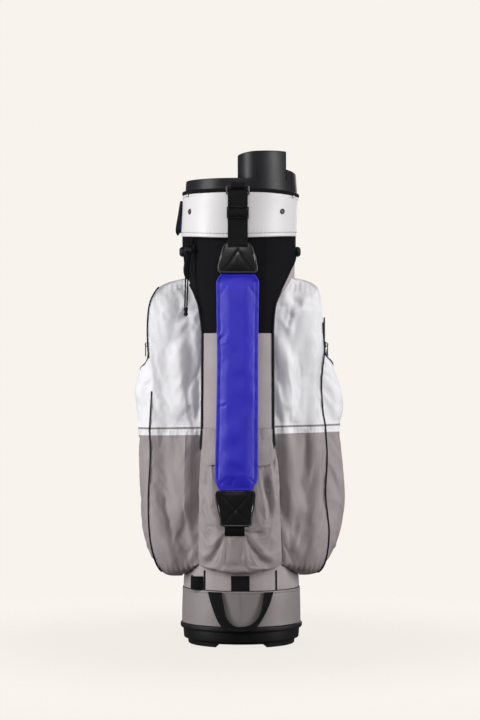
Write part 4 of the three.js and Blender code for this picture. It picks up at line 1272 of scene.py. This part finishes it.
# ---------------------------------------------------------------- glove tab and front handle


def glove_tab():
    """A leather flap with a dark blue lining that hangs from the collar's left side."""
    line = smooth_line([(-119.4, 880.6), (-120.6, 868), (-123.6, 846), (-126.6, 828), (-126.8, 818),
                        (-125.2, 815.6)], 50)
    tangent = unit(np.gradient(line, axis=0))
    out = np.column_stack([tangent[:, 1], np.zeros(50), -tangent[:, 0]])
    out *= np.sign(-out[:, 0:1])
    path = np.column_stack([line[:, 0], np.full(50, 9.0), line[:, 1]])
    along = np.linspace(0, 66, 50)
    width = 46 - 10 * (1 - ramp(66 - along, 10))
    depth = np.interp(along, (0, 12, 40, 60, 66), (2.2, 4.0, 5.2, 5.4, 4.0))
    across = np.array([-1, -0.94, -0.5, 0, 0.5, 0.94, 1])[None, :, None]
    shape = Shape()
    for finish, near, far, shy in ((0, 1.0, -0.55, 0), (1, -0.6, -1.0, 1.0)):
        half = (width / 2 - shy)[:, None, None] * across
        front, back = (half * [0, 1.0, 0] + (path + out * (1.4 + depth * (share - 0.5))[:, None])[:, None]
                       for share in (near, far))
        shape.grid(two_faces(front, back), wrap=True, finish=finish, caps=True)
    shape.piece("glove_flap", [leather_black, fabric_lining], "glove_tab", "black_leather", ["glove_tab"])


def front_handle():
    """The lift handle on the front, hung from two moulded brackets on the collar."""
    half, drop, lean = 80, 54, math.radians(22)
    line = smooth_line([
        [-half, 0, 0], [-half + 9, 0, 0], [-half + 21, 0, -10], [-40, 0, -drop * 0.72], [0, 0, -drop],
        [40, 0, -drop * 0.72], [half - 21, 0, -10], [half - 9, 0, 0], [half, 0, 0],
    ], 120)
    grip = 1 - ease(np.abs(line[:, 0]), 34, 40)
    radius = 4.8 + 0.9 * grip + 0.25 * grip * np.cos(line[:, 0] / 4.5 * math.pi)
    radius[[0, -1]] = 4.0
    c, s = math.cos(lean), math.sin(lean)
    turn = np.array([[1, 0, 0], [0, c, s], [0, -s, c]])
    shape = Shape().grid(tube(line @ turn + [0, 104.0, 857.0], radius, 18), wrap=True)
    shape.piece("front_lift_handle", leather_black, "front_handle", "black_leather", ["front_handle"])
    for side, sign in SIDES:
        centre = np.array([sign * 78.0, 99.0, 857.0])
        bracket = Shape().grid(block((9.6, 25, 19.6), 5, 36, 16) + centre, wrap=True)
        az = math.degrees(math.atan2(centre[0], -centre[1]))
        bracket.grid(block((17, 5, 25), 6, 36, 12) @ spin_z(az) + polar(az, 117.6, 857.0), wrap=True)
        nodes = [f"front_bracket_{side}"]
        bracket.piece(f"front_handle_bracket_{side}", plastic, slot="mould", replaces=nodes)


cover_piping()
strap_hardware()
strap_leather()
strap_pad()
grab_handle()
base_webbing()
glove_tab()
front_handle()


# ---------------------------------------------------------------- side pockets

# Seen from the back: how far out (|x|) each pocket reaches, and at what height, from its top to its bottom.
SIDE_REACH = {
    "left": [(109, 725), (128, 720), (147, 714.5), (163, 706), (173.5, 694), (181, 678), (185, 655),
             (186.5, 620), (184.5, 573), (180, 540), (178.5, 500), (182, 430), (181, 374), (184.5, 303),
             (184.5, 251), (182, 214), (177, 184), (169, 160), (159, 146), (146, 139.5), (122, 138.4)],
    "right": [(104, 725), (123, 721), (140, 714.5), (152, 705), (158, 693), (160.5, 679), (162, 650),
              (163.5, 620), (166, 584), (162, 546), (160, 512), (163, 461), (167, 435), (171, 372),
              (168, 303), (172, 257), (175, 222), (170.5, 176), (160, 150), (141, 141.5), (120, 140)],
}
OUTER_REACH = {
    "left": [(185.5, 575), (190, 565), (198.6, 546), (208.4, 520), (210.6, 498), (205, 466), (203, 424),
             (199.6, 332), (194.6, 244), (189.4, 212), (181.8, 186), (173.5, 166)],
    "right": [(168, 586), (173, 572), (181.4, 555), (195.2, 520), (201, 488), (199.8, 464), (193.6, 431),
              (197.8, 374), (204, 305), (199, 246), (190, 208), (176, 176), (168, 163)],
}
CORNER_AZ = 72.0
BACK_COLUMNS = 44
SIDE_COLUMNS = 46
# Round the pocket from its piped corner to the front: azimuth, and share of its full reach off the tube.
SIDE_SHARE = [(CORNER_AZ, 1.07), (80, 1.045), (91.5, 1.0), (101, 0.985), (110, 0.95), (118, 0.74),
              (127, 0.38), (135, 0.1), (141, 0.0)]

# Where a side pocket's back face leaves the spine: height and azimuth. It leans outwards near the top.
BACK_EDGE = {
    "left": [(138, 46.5), (300, 46), (425, 44.8), (607, 46.2), (644, 48), (671, 53), (688, 59.4),
             (708, 67), (728, 71)],
    "right": [(138, 42.5), (300, 41.8), (368, 38), (425, 35.6), (640, 36), (667, 39), (686, 43.5),
              (700, 50), (713, 60), (728, 69)],
}


def sections(side, count):
    """Rows of a side pocket, each a plan section from the spine round to the front."""
    sink = {"left": 0.20, "right": 0.24}[side]
    rows = []
    for reach, z in smooth_line(SIDE_REACH[side], count):
        tube_r = float(cover_r(z)) + 0.5
        off = max(reach - tube_r, 0.0)
        start = float(edge_azimuth(z, BACK_EDGE[side]))
        corner_az = CORNER_AZ + 7 * ease(z, 690, 727)
        valley = ease(z, 170, 260) * (1 - ease(z, 500, 610))
        shares = [(0, 0), (0.13, 0.05 + 0.10 * (1 - valley)), (0.3, 0.26 - 0.10 * valley),
                  (0.49, 0.50 - sink * valley), (0.66, 0.76 - 0.05 * valley), (0.84, 0.96), (1, 1.07)]
        back = [(start + (corner_az - start) * share, lift) for share, lift in shares]
        front = [(corner_az, 1.07), *SIDE_SHARE[1:]]
        back, front = ([polar(az, tube_r + off * lift, z) for az, lift in part] for part in (back, front))
        rows.append(np.vstack([smooth_line(back, BACK_COLUMNS), smooth_line(front, SIDE_COLUMNS)[1:]]))
    rows = np.array(rows)
    # Next to the spine the pocket ends a little higher than at its outer corner.
    share = np.clip(1 - np.arange(rows.shape[1]) / BACK_COLUMNS, 0, 1) ** 1.4
    rows[..., 2] += 24 * share[None, :] * (1 - ease(rows[..., 2], 139, 260))
    return rows


def face_normals(rows):
    """Unit normals of a grid of points."""
    normal = np.cross(np.gradient(rows, axis=1), np.gradient(rows, axis=0))
    return normal / np.maximum(np.linalg.norm(normal, axis=-1, keepdims=True), 1e-6)


# Folds on the back faces: |x| and height of both ends, width, height.
SIDE_FOLDS = {
    "left": [
        (150, 640, 148, 230, 22, 7.5), (126, 600, 106, 440, 18, -13.5), (114, 645, 124, 575, 11, -3.6),
        (107, 440, 111, 230, 18, -13.5),
        (84, 560, 84, 440, 7, 2.4), (101, 500, 95, 425, 4, 1.6), (118, 700, 104, 655, 7, -3.0),
        (112, 672, 106, 648, 5, 2.2), (128, 712, 120, 688, 7, -2.0), (140, 360, 118, 240, 8, -3.0),
        (152, 300, 132, 210, 9, 2.4), (108, 300, 96, 200, 7, -3.6), (122, 236, 104, 170, 7, 2.8),
        (150, 210, 128, 160, 8, -2.0), (166, 470, 164, 380, 10, 1.2),
    ],
    "right": [
        (128, 640, 132, 230, 20, 7.0), (85, 600, 90, 440, 15, -12.0), (68, 524, 82, 440, 5, -3.5),
        (90, 440, 98, 240, 15, -12.0),
        (92, 470, 90, 425, 5, 2.2), (108, 672, 92, 610, 6, -3.4), (124, 700, 98, 676, 6, 2.4),
        (100, 655, 90, 630, 5, 2.4), (132, 690, 104, 650, 6, -2.4), (104, 400, 110, 260, 8, -4.4),
        (128, 420, 126, 340, 9, 1.8), (120, 250, 98, 176, 7, -3.0), (138, 214, 112, 160, 7, 2.2),
        (146, 600, 142, 500, 12, 1.5),
    ],
}
PIPE_BITE = 2.6  # how far the seams draw the cloth in
MOST_INWARD = 0.8  # how far the cloth may settle towards the tube, which is close behind it
# The heights between which the corner piping shows.
PIPING_SHOWS = {"left": [(143, 503), (566, 708)], "right": [(143, 641)]}


def seam_height(z, x):
    """The height above the tilted seam between the white and the taupe cloth, in millimetres."""
    return z - SEAM / MM - SEAM_TILT * x


def dress(rows, side, sign, seed):
    """Folds, seam puckers and slack on a side pocket's rows."""
    x, y, z = np.abs(rows[..., 0]), rows[..., 1], rows[..., 2]
    column = np.arange(rows.shape[1])[None, :]
    on_back = (column < BACK_COLUMNS) * ease(BACK_COLUMNS - column, 0, 6)
    free = ease(np.minimum(column, np.abs(column - (BACK_COLUMNS - 1))), 0, 4)
    ends = ramp(728 - z, 12) * ramp(z - 139, 10)
    folds = 1.05 * creases(x, z, SIDE_FOLDS[side]) * on_back * free
    slack = 0.6 * ripples(x * 1.1, z * 0.35, 46, seed, (-0.45, 0.45)) * on_back * free
    slack += 0.25 * ripples(x, z, 22, seed + 1, (-0.9, 0.9)) * on_back * free
    slack += 1.1 * ripples(y * 0.8, z * 0.6, 70, seed + 2) * (column >= BACK_COLUMNS)
    seam = seam_height(z, x * sign)
    pucker = 0.7 * np.sin(x / 7.5 * 2 * math.pi + 2 * np.sin(x / 23)) * hump(seam, 6, 7.5) * free
    pucker -= 1.0 * hump(seam, 12, 3) + 0.9 * hump(seam, 0, 2.0)
    gather = 0.64 * np.sin(x / 10 * 2 * math.pi + 1.7 * np.sin(z / 17))
    gather *= hump(z, 716, 14) + hump(z, 152, 14)
    bite = -PIPE_BITE * hump(column, BACK_COLUMNS - 1, 0.9)
    push = (folds + slack + pucker + gather * free) * ends + bite
    return rows + push[..., None] * face_normals(rows)


def edge_weights(rows):
    """Pin weights for a grid of points, held at its edges."""
    held = np.zeros(rows.shape[:2])
    held[[0, -1], :] = 1
    held[:, [0, -1]] = 1
    return held


def settle(obj, pinned, frames=12, shrink=-0.02, pressure=0.8, most=5.0):
    """Lets cloth settle by a simulation, with `pinned` weights held, and keeps moves of `most` mm at most."""
    mesh = obj.data
    before = coordinates(mesh)
    group = obj.vertex_groups.new(name="held")
    for index, weight in enumerate(pinned.ravel()):
        group.add([index], float(weight), "REPLACE")
    cloth = obj.modifiers.new("cloth", "CLOTH")
    settings = cloth.settings
    settings.quality = 6
    settings.mass = 0.25
    settings.tension_stiffness = 14
    settings.compression_stiffness = 14
    settings.shear_stiffness = 4
    settings.bending_stiffness = 0.35
    settings.vertex_group_mass = "held"
    settings.pin_stiffness = 1.0
    settings.shrink_min = shrink
    settings.use_pressure = True
    settings.uniform_pressure_force = pressure
    settings.effector_weights.gravity = 0.06
    cloth.collision_settings.use_collision = False
    cloth.point_cache.frame_start = 1
    cloth.point_cache.frame_end = frames
    for number in range(1, frames + 1):
        scene.frame_set(number)
    moved = coordinates(obj.evaluated_get(bpy.context.evaluated_depsgraph_get()).data)
    obj.modifiers.remove(cloth)
    scene.frame_set(1)
    step = moved - before
    size = np.linalg.norm(step, axis=1)
    limit = most * MM
    step *= (limit * np.tanh(size / limit) / np.maximum(size, 1e-9))[:, None]
    out = level_out(before)
    outward_step = (step * out).sum(axis=1)
    step += out * (np.maximum(outward_step, -MOST_INWARD * MM) - outward_step)[:, None]
    mesh.vertices.foreach_set("co", (before + step).ravel())
    mesh.update()


def side_pocket(side, sign, seed):
    """The large pocket: its rows of cloth, settled, and the black piping round its back corner."""
    rows = dress(sections(side, 150), side, sign, seed)
    rows[..., 0] *= sign
    obj = Shape().grid(rows, height=True).piece(
        f"side_pocket_cloth_{side}", fabric_pocket, slot="white_fabric", replaces=[f"side_pocket_{side}"],
        sharp=80, weld=False,
    )
    held = edge_weights(rows)
    held[:, BACK_COLUMNS - 1] = 1
    seam = np.abs(rows[..., 2] - 424) < 3  # where the two cloths are sewn together
    held[seam] = np.maximum(held[seam], 0.5)
    settle(obj, held, frames=10, shrink=-0.01, pressure=0.7, most=2.2)
    corner_line = rows[:, BACK_COLUMNS - 1]
    out = level_out(corner_line)
    pipe = Shape()
    for low, high in PIPING_SHOWS[side]:
        shown = (corner_line[:, 2] < high) & (corner_line[:, 2] > low)
        pipe.grid(tube(evenly((corner_line + 0.9 * out)[shown], 160), 1.4), wrap=True)
    pipe.piece(f"side_pocket_piping_{side}", piping, slot="black_fabric")


# How much of its full bulge an outer pocket has: azimuths, and shares.
OUTER_SHARE = ((74, 76, 79.5, 84, 90, 97, 103, 108, 112, 115),
               (0, 0.22, 0.62, 0.90, 1.0, 0.99, 0.88, 0.58, 0.22, 0))
OUTER_FOLDS = [(-40, 290, -6, 262, 5, -1), (-44, 350, -20, 250, 6, 0.9), (-30, 470, 10, 500, 7, 0.7),
               (-36, 210, -8, 190, 6, -0.9), (20, 500, 34, 330, 7, -0.8), (-20, 400, -12, 300, 6, -0.6)]
OUTER_COLUMNS = 48


def outer_pocket(side, sign, seed):
    """The second pocket on the outside of each side pocket, with a slanting top."""
    inner_x, inner_z = smooth_line(SIDE_REACH[side], 300)[::-1].T
    az = np.linspace(74, 115, OUTER_COLUMNS)
    share, bulge_share = np.interp(az, *np.array(SIDE_SHARE).T), np.interp(az, *OUTER_SHARE)
    rows = []
    for reach, z in smooth_line(OUTER_REACH[side], 110):
        tube_r = float(cover_r(z)) + 0.5
        inside = np.interp(z, inner_z, inner_x)
        bulge = max(reach - inside, 0.0)
        rows.append(polar(az, tube_r + (inside - tube_r) * share + bulge * bulge_share + 0.6, z))
    rows = np.array(rows)
    y, z = rows[..., 1], rows[..., 2]
    column = np.arange(OUTER_COLUMNS)[None, :]
    free = ease(np.minimum(column, OUTER_COLUMNS - 1 - column), 0, 6)
    slack = 1.1 * ripples(y, z * 0.5, 60, seed, (-0.5, 0.5)) + 0.3 * ripples(y, z, 30, seed + 1)
    slack += 2.4 * creases(y, z, OUTER_FOLDS)
    seam = seam_height(z, rows[..., 0] * sign)
    slack -= 1.0 * hump(seam, 12, 3) + 0.8 * hump(seam, 0, 2.0)
    rows += (slack * free)[..., None] * face_normals(rows)
    rows[..., 0] *= sign
    obj = Shape().grid(rows, height=True).piece(
        f"outer_pocket_cloth_{side}", fabric_pocket, slot="taupe_fabric", replaces=[f"outer_pocket_{side}"],
        sharp=80, weld=False,
    )
    settle(obj, edge_weights(rows), shrink=-0.015)
    # The zip's black piping dips from the corner piping across the top of the pocket.
    at = np.linspace(0, 1, 90)
    dip = 9.5 * np.sin(math.pi * at) ** 0.9
    lower = dip.astype(int)
    part = (dip - lower)[:, None]
    columns = (at * (OUTER_COLUMNS - 1)).round().astype(int)
    line = rows[lower, columns] * (1 - part) + rows[lower + 1, columns] * part
    out = polar(az[columns], 1.0, 0.0) * [sign, 1, 1]
    pipe = Shape().grid(tube(evenly(line + out * 0.5, 90), 1.3, 8), wrap=True)
    pipe.piece(f"outer_pocket_piping_{side}", piping, slot="black_fabric")


# ---------------------------------------------------------------- back pocket


SPINE_R = 112  # the radius that arcs over the spine are measured at
SLIT_ARC, SLIT_Z = -12, 222  # where the strap's webbing goes into the back pocket


def back_pocket():
    """The soft pocket low on the spine, pulled outwards where the strap's webbing goes in."""
    low, high = 141.0, 428.0
    z = np.linspace(low, high, 190)[:, None]
    left = -np.interp(z, (141, 300, 392, 425), (46.2, 46.0, 45.0, 43.2))
    right = np.interp(z, (141, 300, 368, 405, 425), (43.0, 42.0, 38.6, 34.2, 33.4))
    az = left + (right - left) * np.linspace(0, 1, 130)[None, :]
    arc = np.radians(az) * SPINE_R
    edge = np.minimum(az - left, right - az)
    puff = ramp(z - low, 46) * (1 - 0.55 * ease(z, 330, 425)) * ramp(edge, 15)
    body = 14.5 * puff * (1 - 0.35 * hump(arc, 0, 42) * ease(z, 180, 330))
    pull = 5.0 * hump(z, SLIT_Z, 26) * hump(arc, SLIT_ARC, 34)
    folds = creases(arc, z, [
        (-36, 226, -74, 160, 9, 4.0), (-24, 222, -66, 150, 7, -2.6), (14, 226, 62, 158, 9, 4.0),
        (4, 220, 50, 150, 7, -2.6), (48, 352, 66, 262, 6, 4.2), (40, 340, 52, 250, 5, -3.6),
        (58, 372, 74, 300, 5, -3.2), (70, 396, 78, 300, 5, 3.0), (44, 300, 36, 210, 7, 2.4),
        (-70, 380, -78, 250, 6, 2.6), (-62, 350, -64, 240, 7, -2.0), (-52, 300, -40, 230, 8, 1.6),
        (30, 250, 70, 200, 7, 1.8), (-30, 178, 20, 172, 9, 1.6), (-50, 160, 40, 158, 8, -1.2),
    ])
    slack = 1.0 * ripples(arc, z * 0.5, 44, 31) + 0.4 * ripples(arc, z, 20, 32)
    free = ramp(edge, 8) * ramp(z - low, 18) * (1 - 0.6 * ease(z, 380, 420))
    lip = 5.0 * hump(z, low + 9, 7) * np.exp(-((arc / 66) ** 4))
    off = np.maximum(1.0 + body + pull + (folds + slack) * free + lip, 0.4)
    off[0] = 0.2
    # The hem rises towards both sides, and stands off the tube over the two pipings under it.
    hem = (5.5 + 12.0 * np.abs((arc + 5) / 78) ** 2.2) * (1 - ease(z, low, low + 75))
    gap = 3.0 * hump(arc, -49, 7) + 3.0 * hump(arc, 38, 7)
    rows = polar(az, cover_r(z) + off + gap * hump(z, low, 8), z + hem + gap * (1 - ease(z, low, low + 12)))
    obj = Shape().grid(rows).piece(
        "back_pocket_cloth", fabric_taupe, slot="taupe_fabric", replaces=["back_pocket"],
        sharp=80, weld=False,
    )
    held = edge_weights(rows)
    held[(np.abs(z - SLIT_Z) < 3) & (np.abs(arc - SLIT_ARC) < 20)] = 1
    settle(obj, held)


def back_flap():
    """The flap behind the pad: a thin sheet with round lower corners that stands off the pocket."""
    share = np.linspace(-1, 1, 90)[None, :]
    arc = -7 + 66 * share
    deep = 70 - 17 * (1 - ramp(66 * (1 - np.abs(share)), 17))
    drop = deep * np.linspace(0, 1, 60)[:, None]
    height = 428.5 - drop + 1.2 * np.sin(share * 9)
    under = 1.0 + 14.5 * 0.75 * ramp(84 - np.abs(arc), 28)
    off = under * ease(drop, 0, 40) + 1.8 + 4.2 * ease(drop, 30, 70)
    off += 0.8 * ripples(arc, height, 34, 41) * ease(drop, 4, 30)
    az = np.degrees(arc / SPINE_R)
    front, behind = (polar(az, cover_r(height) + off + by, height) for by in (0.5, -0.7))
    flap = Shape().grid(two_faces(front, behind), wrap=True, caps=True)
    flap.piece("back_pocket_flap", fabric_taupe, slot="taupe_fabric", sharp=60)
    lines = [(front[4:-6, column] + [0, -0.3, 0], 3.6, 1.3, 0.26) for column in (3, 85)]
    lines.append((polar(np.linspace(-41.5, 32.5, 120), cover_r(430.5) + 0.9, 430.5), 3.6, 1.3, 0.26))
    sew("back_pocket_stitching", thread_taupe, "taupe_fabric", lines)


# ---------------------------------------------------------------- front pockets


def front_pocket(node, finish, slot, half, front, heights, reach, seed):
    """A soft box of a pocket on the front, its face bulging, with piping round the face.

    It spans `half` either side of the middle, `front` from the tube's axis, and `reach` degrees each way.
    """
    low, high = heights
    z = np.linspace(low, high, 110)[:, None]
    az = 180 + np.linspace(-reach, reach, 120)[None, :]
    theta = np.radians(np.abs(180 - az))
    flat = ((np.cos(theta) / front) ** 9 + (np.sin(theta) / half) ** 9) ** (-1 / 9)
    off = 1.0 + (flat - cover_r(z) - 1.0) * ramp(high - z, 24) * ramp(z - low, 30)
    arc = np.radians(az - 180) * front
    face = ramp(half - np.abs(np.sin(theta)) * flat - 1, 30)
    face = face * ramp(high - z - 8, 40) * ramp(z - low - 8, 50)
    soft = 1.32 * ripples(arc, z * 0.7, 60, seed) + 0.54 * ripples(arc, z, 28, seed + 1)
    off += (soft - 1.2) * face
    rows = polar(az, cover_r(z) + off, z)
    Shape().grid(rows, height=True).piece(f"{node}_cloth", finish, slot=slot, replaces=[node], sharp=80)

    corner_az = math.degrees(math.atan2(half, front))
    left, right = (int(np.argmin(np.abs(az[0] - 180 - sign * corner_az))) for _, sign in SIDES)
    bottom, top = 16, 96  # the rows that the piped face spans
    loop = np.vstack([rows[bottom:top, left], rows[top, left:right], rows[bottom:top, right][::-1],
                      rows[bottom, left:right][::-1], rows[bottom : bottom + 1, left]])
    wrapped = np.vstack([loop[-9:-1], loop, loop[1:9]])
    kernel = np.ones(9) / 9  # a running mean, which rounds the loop's corners
    soft_loop = np.stack([np.convolve(wrapped[:, k], kernel, "same") for k in range(3)], axis=1)[8:-8]
    line = evenly(soft_loop + level_out(soft_loop) * 1.3, 260)
    pipe = Shape().grid(tube(line, 1.8, ends=False), wrap=True)
    pipe.piece(f"{node}_cloth_piping", piping, slot="black_fabric")


TOOTH_PITCH = 2.4


def zip_line(node, line, out):
    """A zip: its tape, and two rows of coil teeth down the middle, along a line with directions out of it."""
    across = unit(np.cross(unit(np.gradient(line, axis=0)), out))
    shape = Shape().grid(flat_band(line - out * 0.9, across, out, 15, 1.2, 11), wrap=True, caps=True)
    count = int(lengths_along(line)[-1] / TOOTH_PITCH)
    for number, index in enumerate(np.linspace(0, len(line) - 1, count)):
        i = int(index)
        side = 1 if number % 2 else -1
        middle = line[i] + across[i] * side * 1.0 + out[i] * 0.1
        shape.grid(tube([middle - across[i] * 1.5, middle + across[i] * 1.5], 0.75, 6), wrap=True, finish=1)
    shape.piece(f"{node}_teeth", [webbing, plastic], slot="zip", replaces=[node])


def zip_runner(prefix, place, az, across):
    """A zip's slider with its bridge, and the pull that hangs from it."""
    spin = spin_z(az)
    size = (12.6, 2.6, 8.6) if across else (8.6, 2.6, 12.6)
    body = Shape().grid((block(size, 3.2, 32, 14) + [0, -1.3, 0]) @ spin + place, wrap=True)
    bridge = [(0, -2.0, -3.4), (0, -4.6, -2.4), (0, -6.4, 1.0), (0, -4.6, 3.4), (0, -2.0, 4.0)]
    bridge = smooth_line(bridge, 24)
    body.grid(tube(bridge @ spin + place, 0.8), wrap=True)
    body.piece(f"{prefix}_slider_body", gunmetal, f"{prefix}_slider", "metal", [f"{prefix}_slider"])

    hang_y = -5.3
    loop = rounded([(-1.9, 1.6, 1.2), (1.9, 1.6, 1.2), (1.9, -5.5, 1.2), (-1.9, -5.5, 1.2)], 5, closed=True)
    loop = evenly(loop, 33)[:-1]
    path = np.column_stack([loop[:, 0], np.full(32, hang_y), loop[:, 1]]) @ spin + place
    pull = Shape().grid(tube(np.vstack([path, path[:2]]), 0.75, 8, ends=False), wrap=True)
    strap = np.column_stack([np.zeros(20), np.full(20, hang_y), np.linspace(-4.6, -23, 20)]) @ spin + place
    to_ends = np.minimum(np.linspace(0.8, 19.2, 20), 19.2 - np.linspace(0, 18.4, 20))
    width = np.maximum(4.6 * ramp(to_ends, 2.4), 1.2)
    pull.grid(flat_band(strap, ACROSS @ spin, TO_BACK @ spin, width, 1.5, 9, 0.2), wrap=True, caps=True)
    pull.piece(f"{prefix}_pull_tab", rubber, f"{prefix}_pull", "rubber", [f"{prefix}_pull"])


def zips():
    """The four zips with their sliders and pulls, at the places of the CAD tracks."""
    for side, sign in SIDES:
        name, az = f"side_zip_{side}", sign * 80.0
        low, high = corner(name, False), corner(name)
        z = np.linspace(low[2], high[2], 60)
        radius = math.hypot(*((low + high) / 2)[:2])
        zip_line(name, polar(az, radius + 1.0, z), polar(az, 1.0, 0 * z))
        zip_runner(name, polar(az, radius + 1.4, 594.0), az, False)
    for name in ("ball_zip", "accessory_zip"):
        low, high = corner(name, False), corner(name)
        level = (low[2] + high[2]) / 2
        line = np.linspace((low[0], high[1] - 0.6, level), (high[0], high[1] - 0.6, level), 90)
        zip_line(name, line, np.tile([0, 1.0, 0], (90, 1)))
        zip_runner(name, (low[0] + 12, high[1] + 0.4, level), 180.0, True)


for side, sign, seed in (("left", -1, 51), ("right", 1, 61)):
    side_pocket(side, sign, seed)
    outer_pocket(side, sign, seed + 20)
back_pocket()
back_flap()
front_pocket("ball_pocket", fabric_pocket, "taupe_fabric", 88, 184, (150, 428), 38, 91)
front_pocket("accessory_pocket", fabric_white, "white_fabric", 72, 150, (452, 648), 34, 95)
zips()
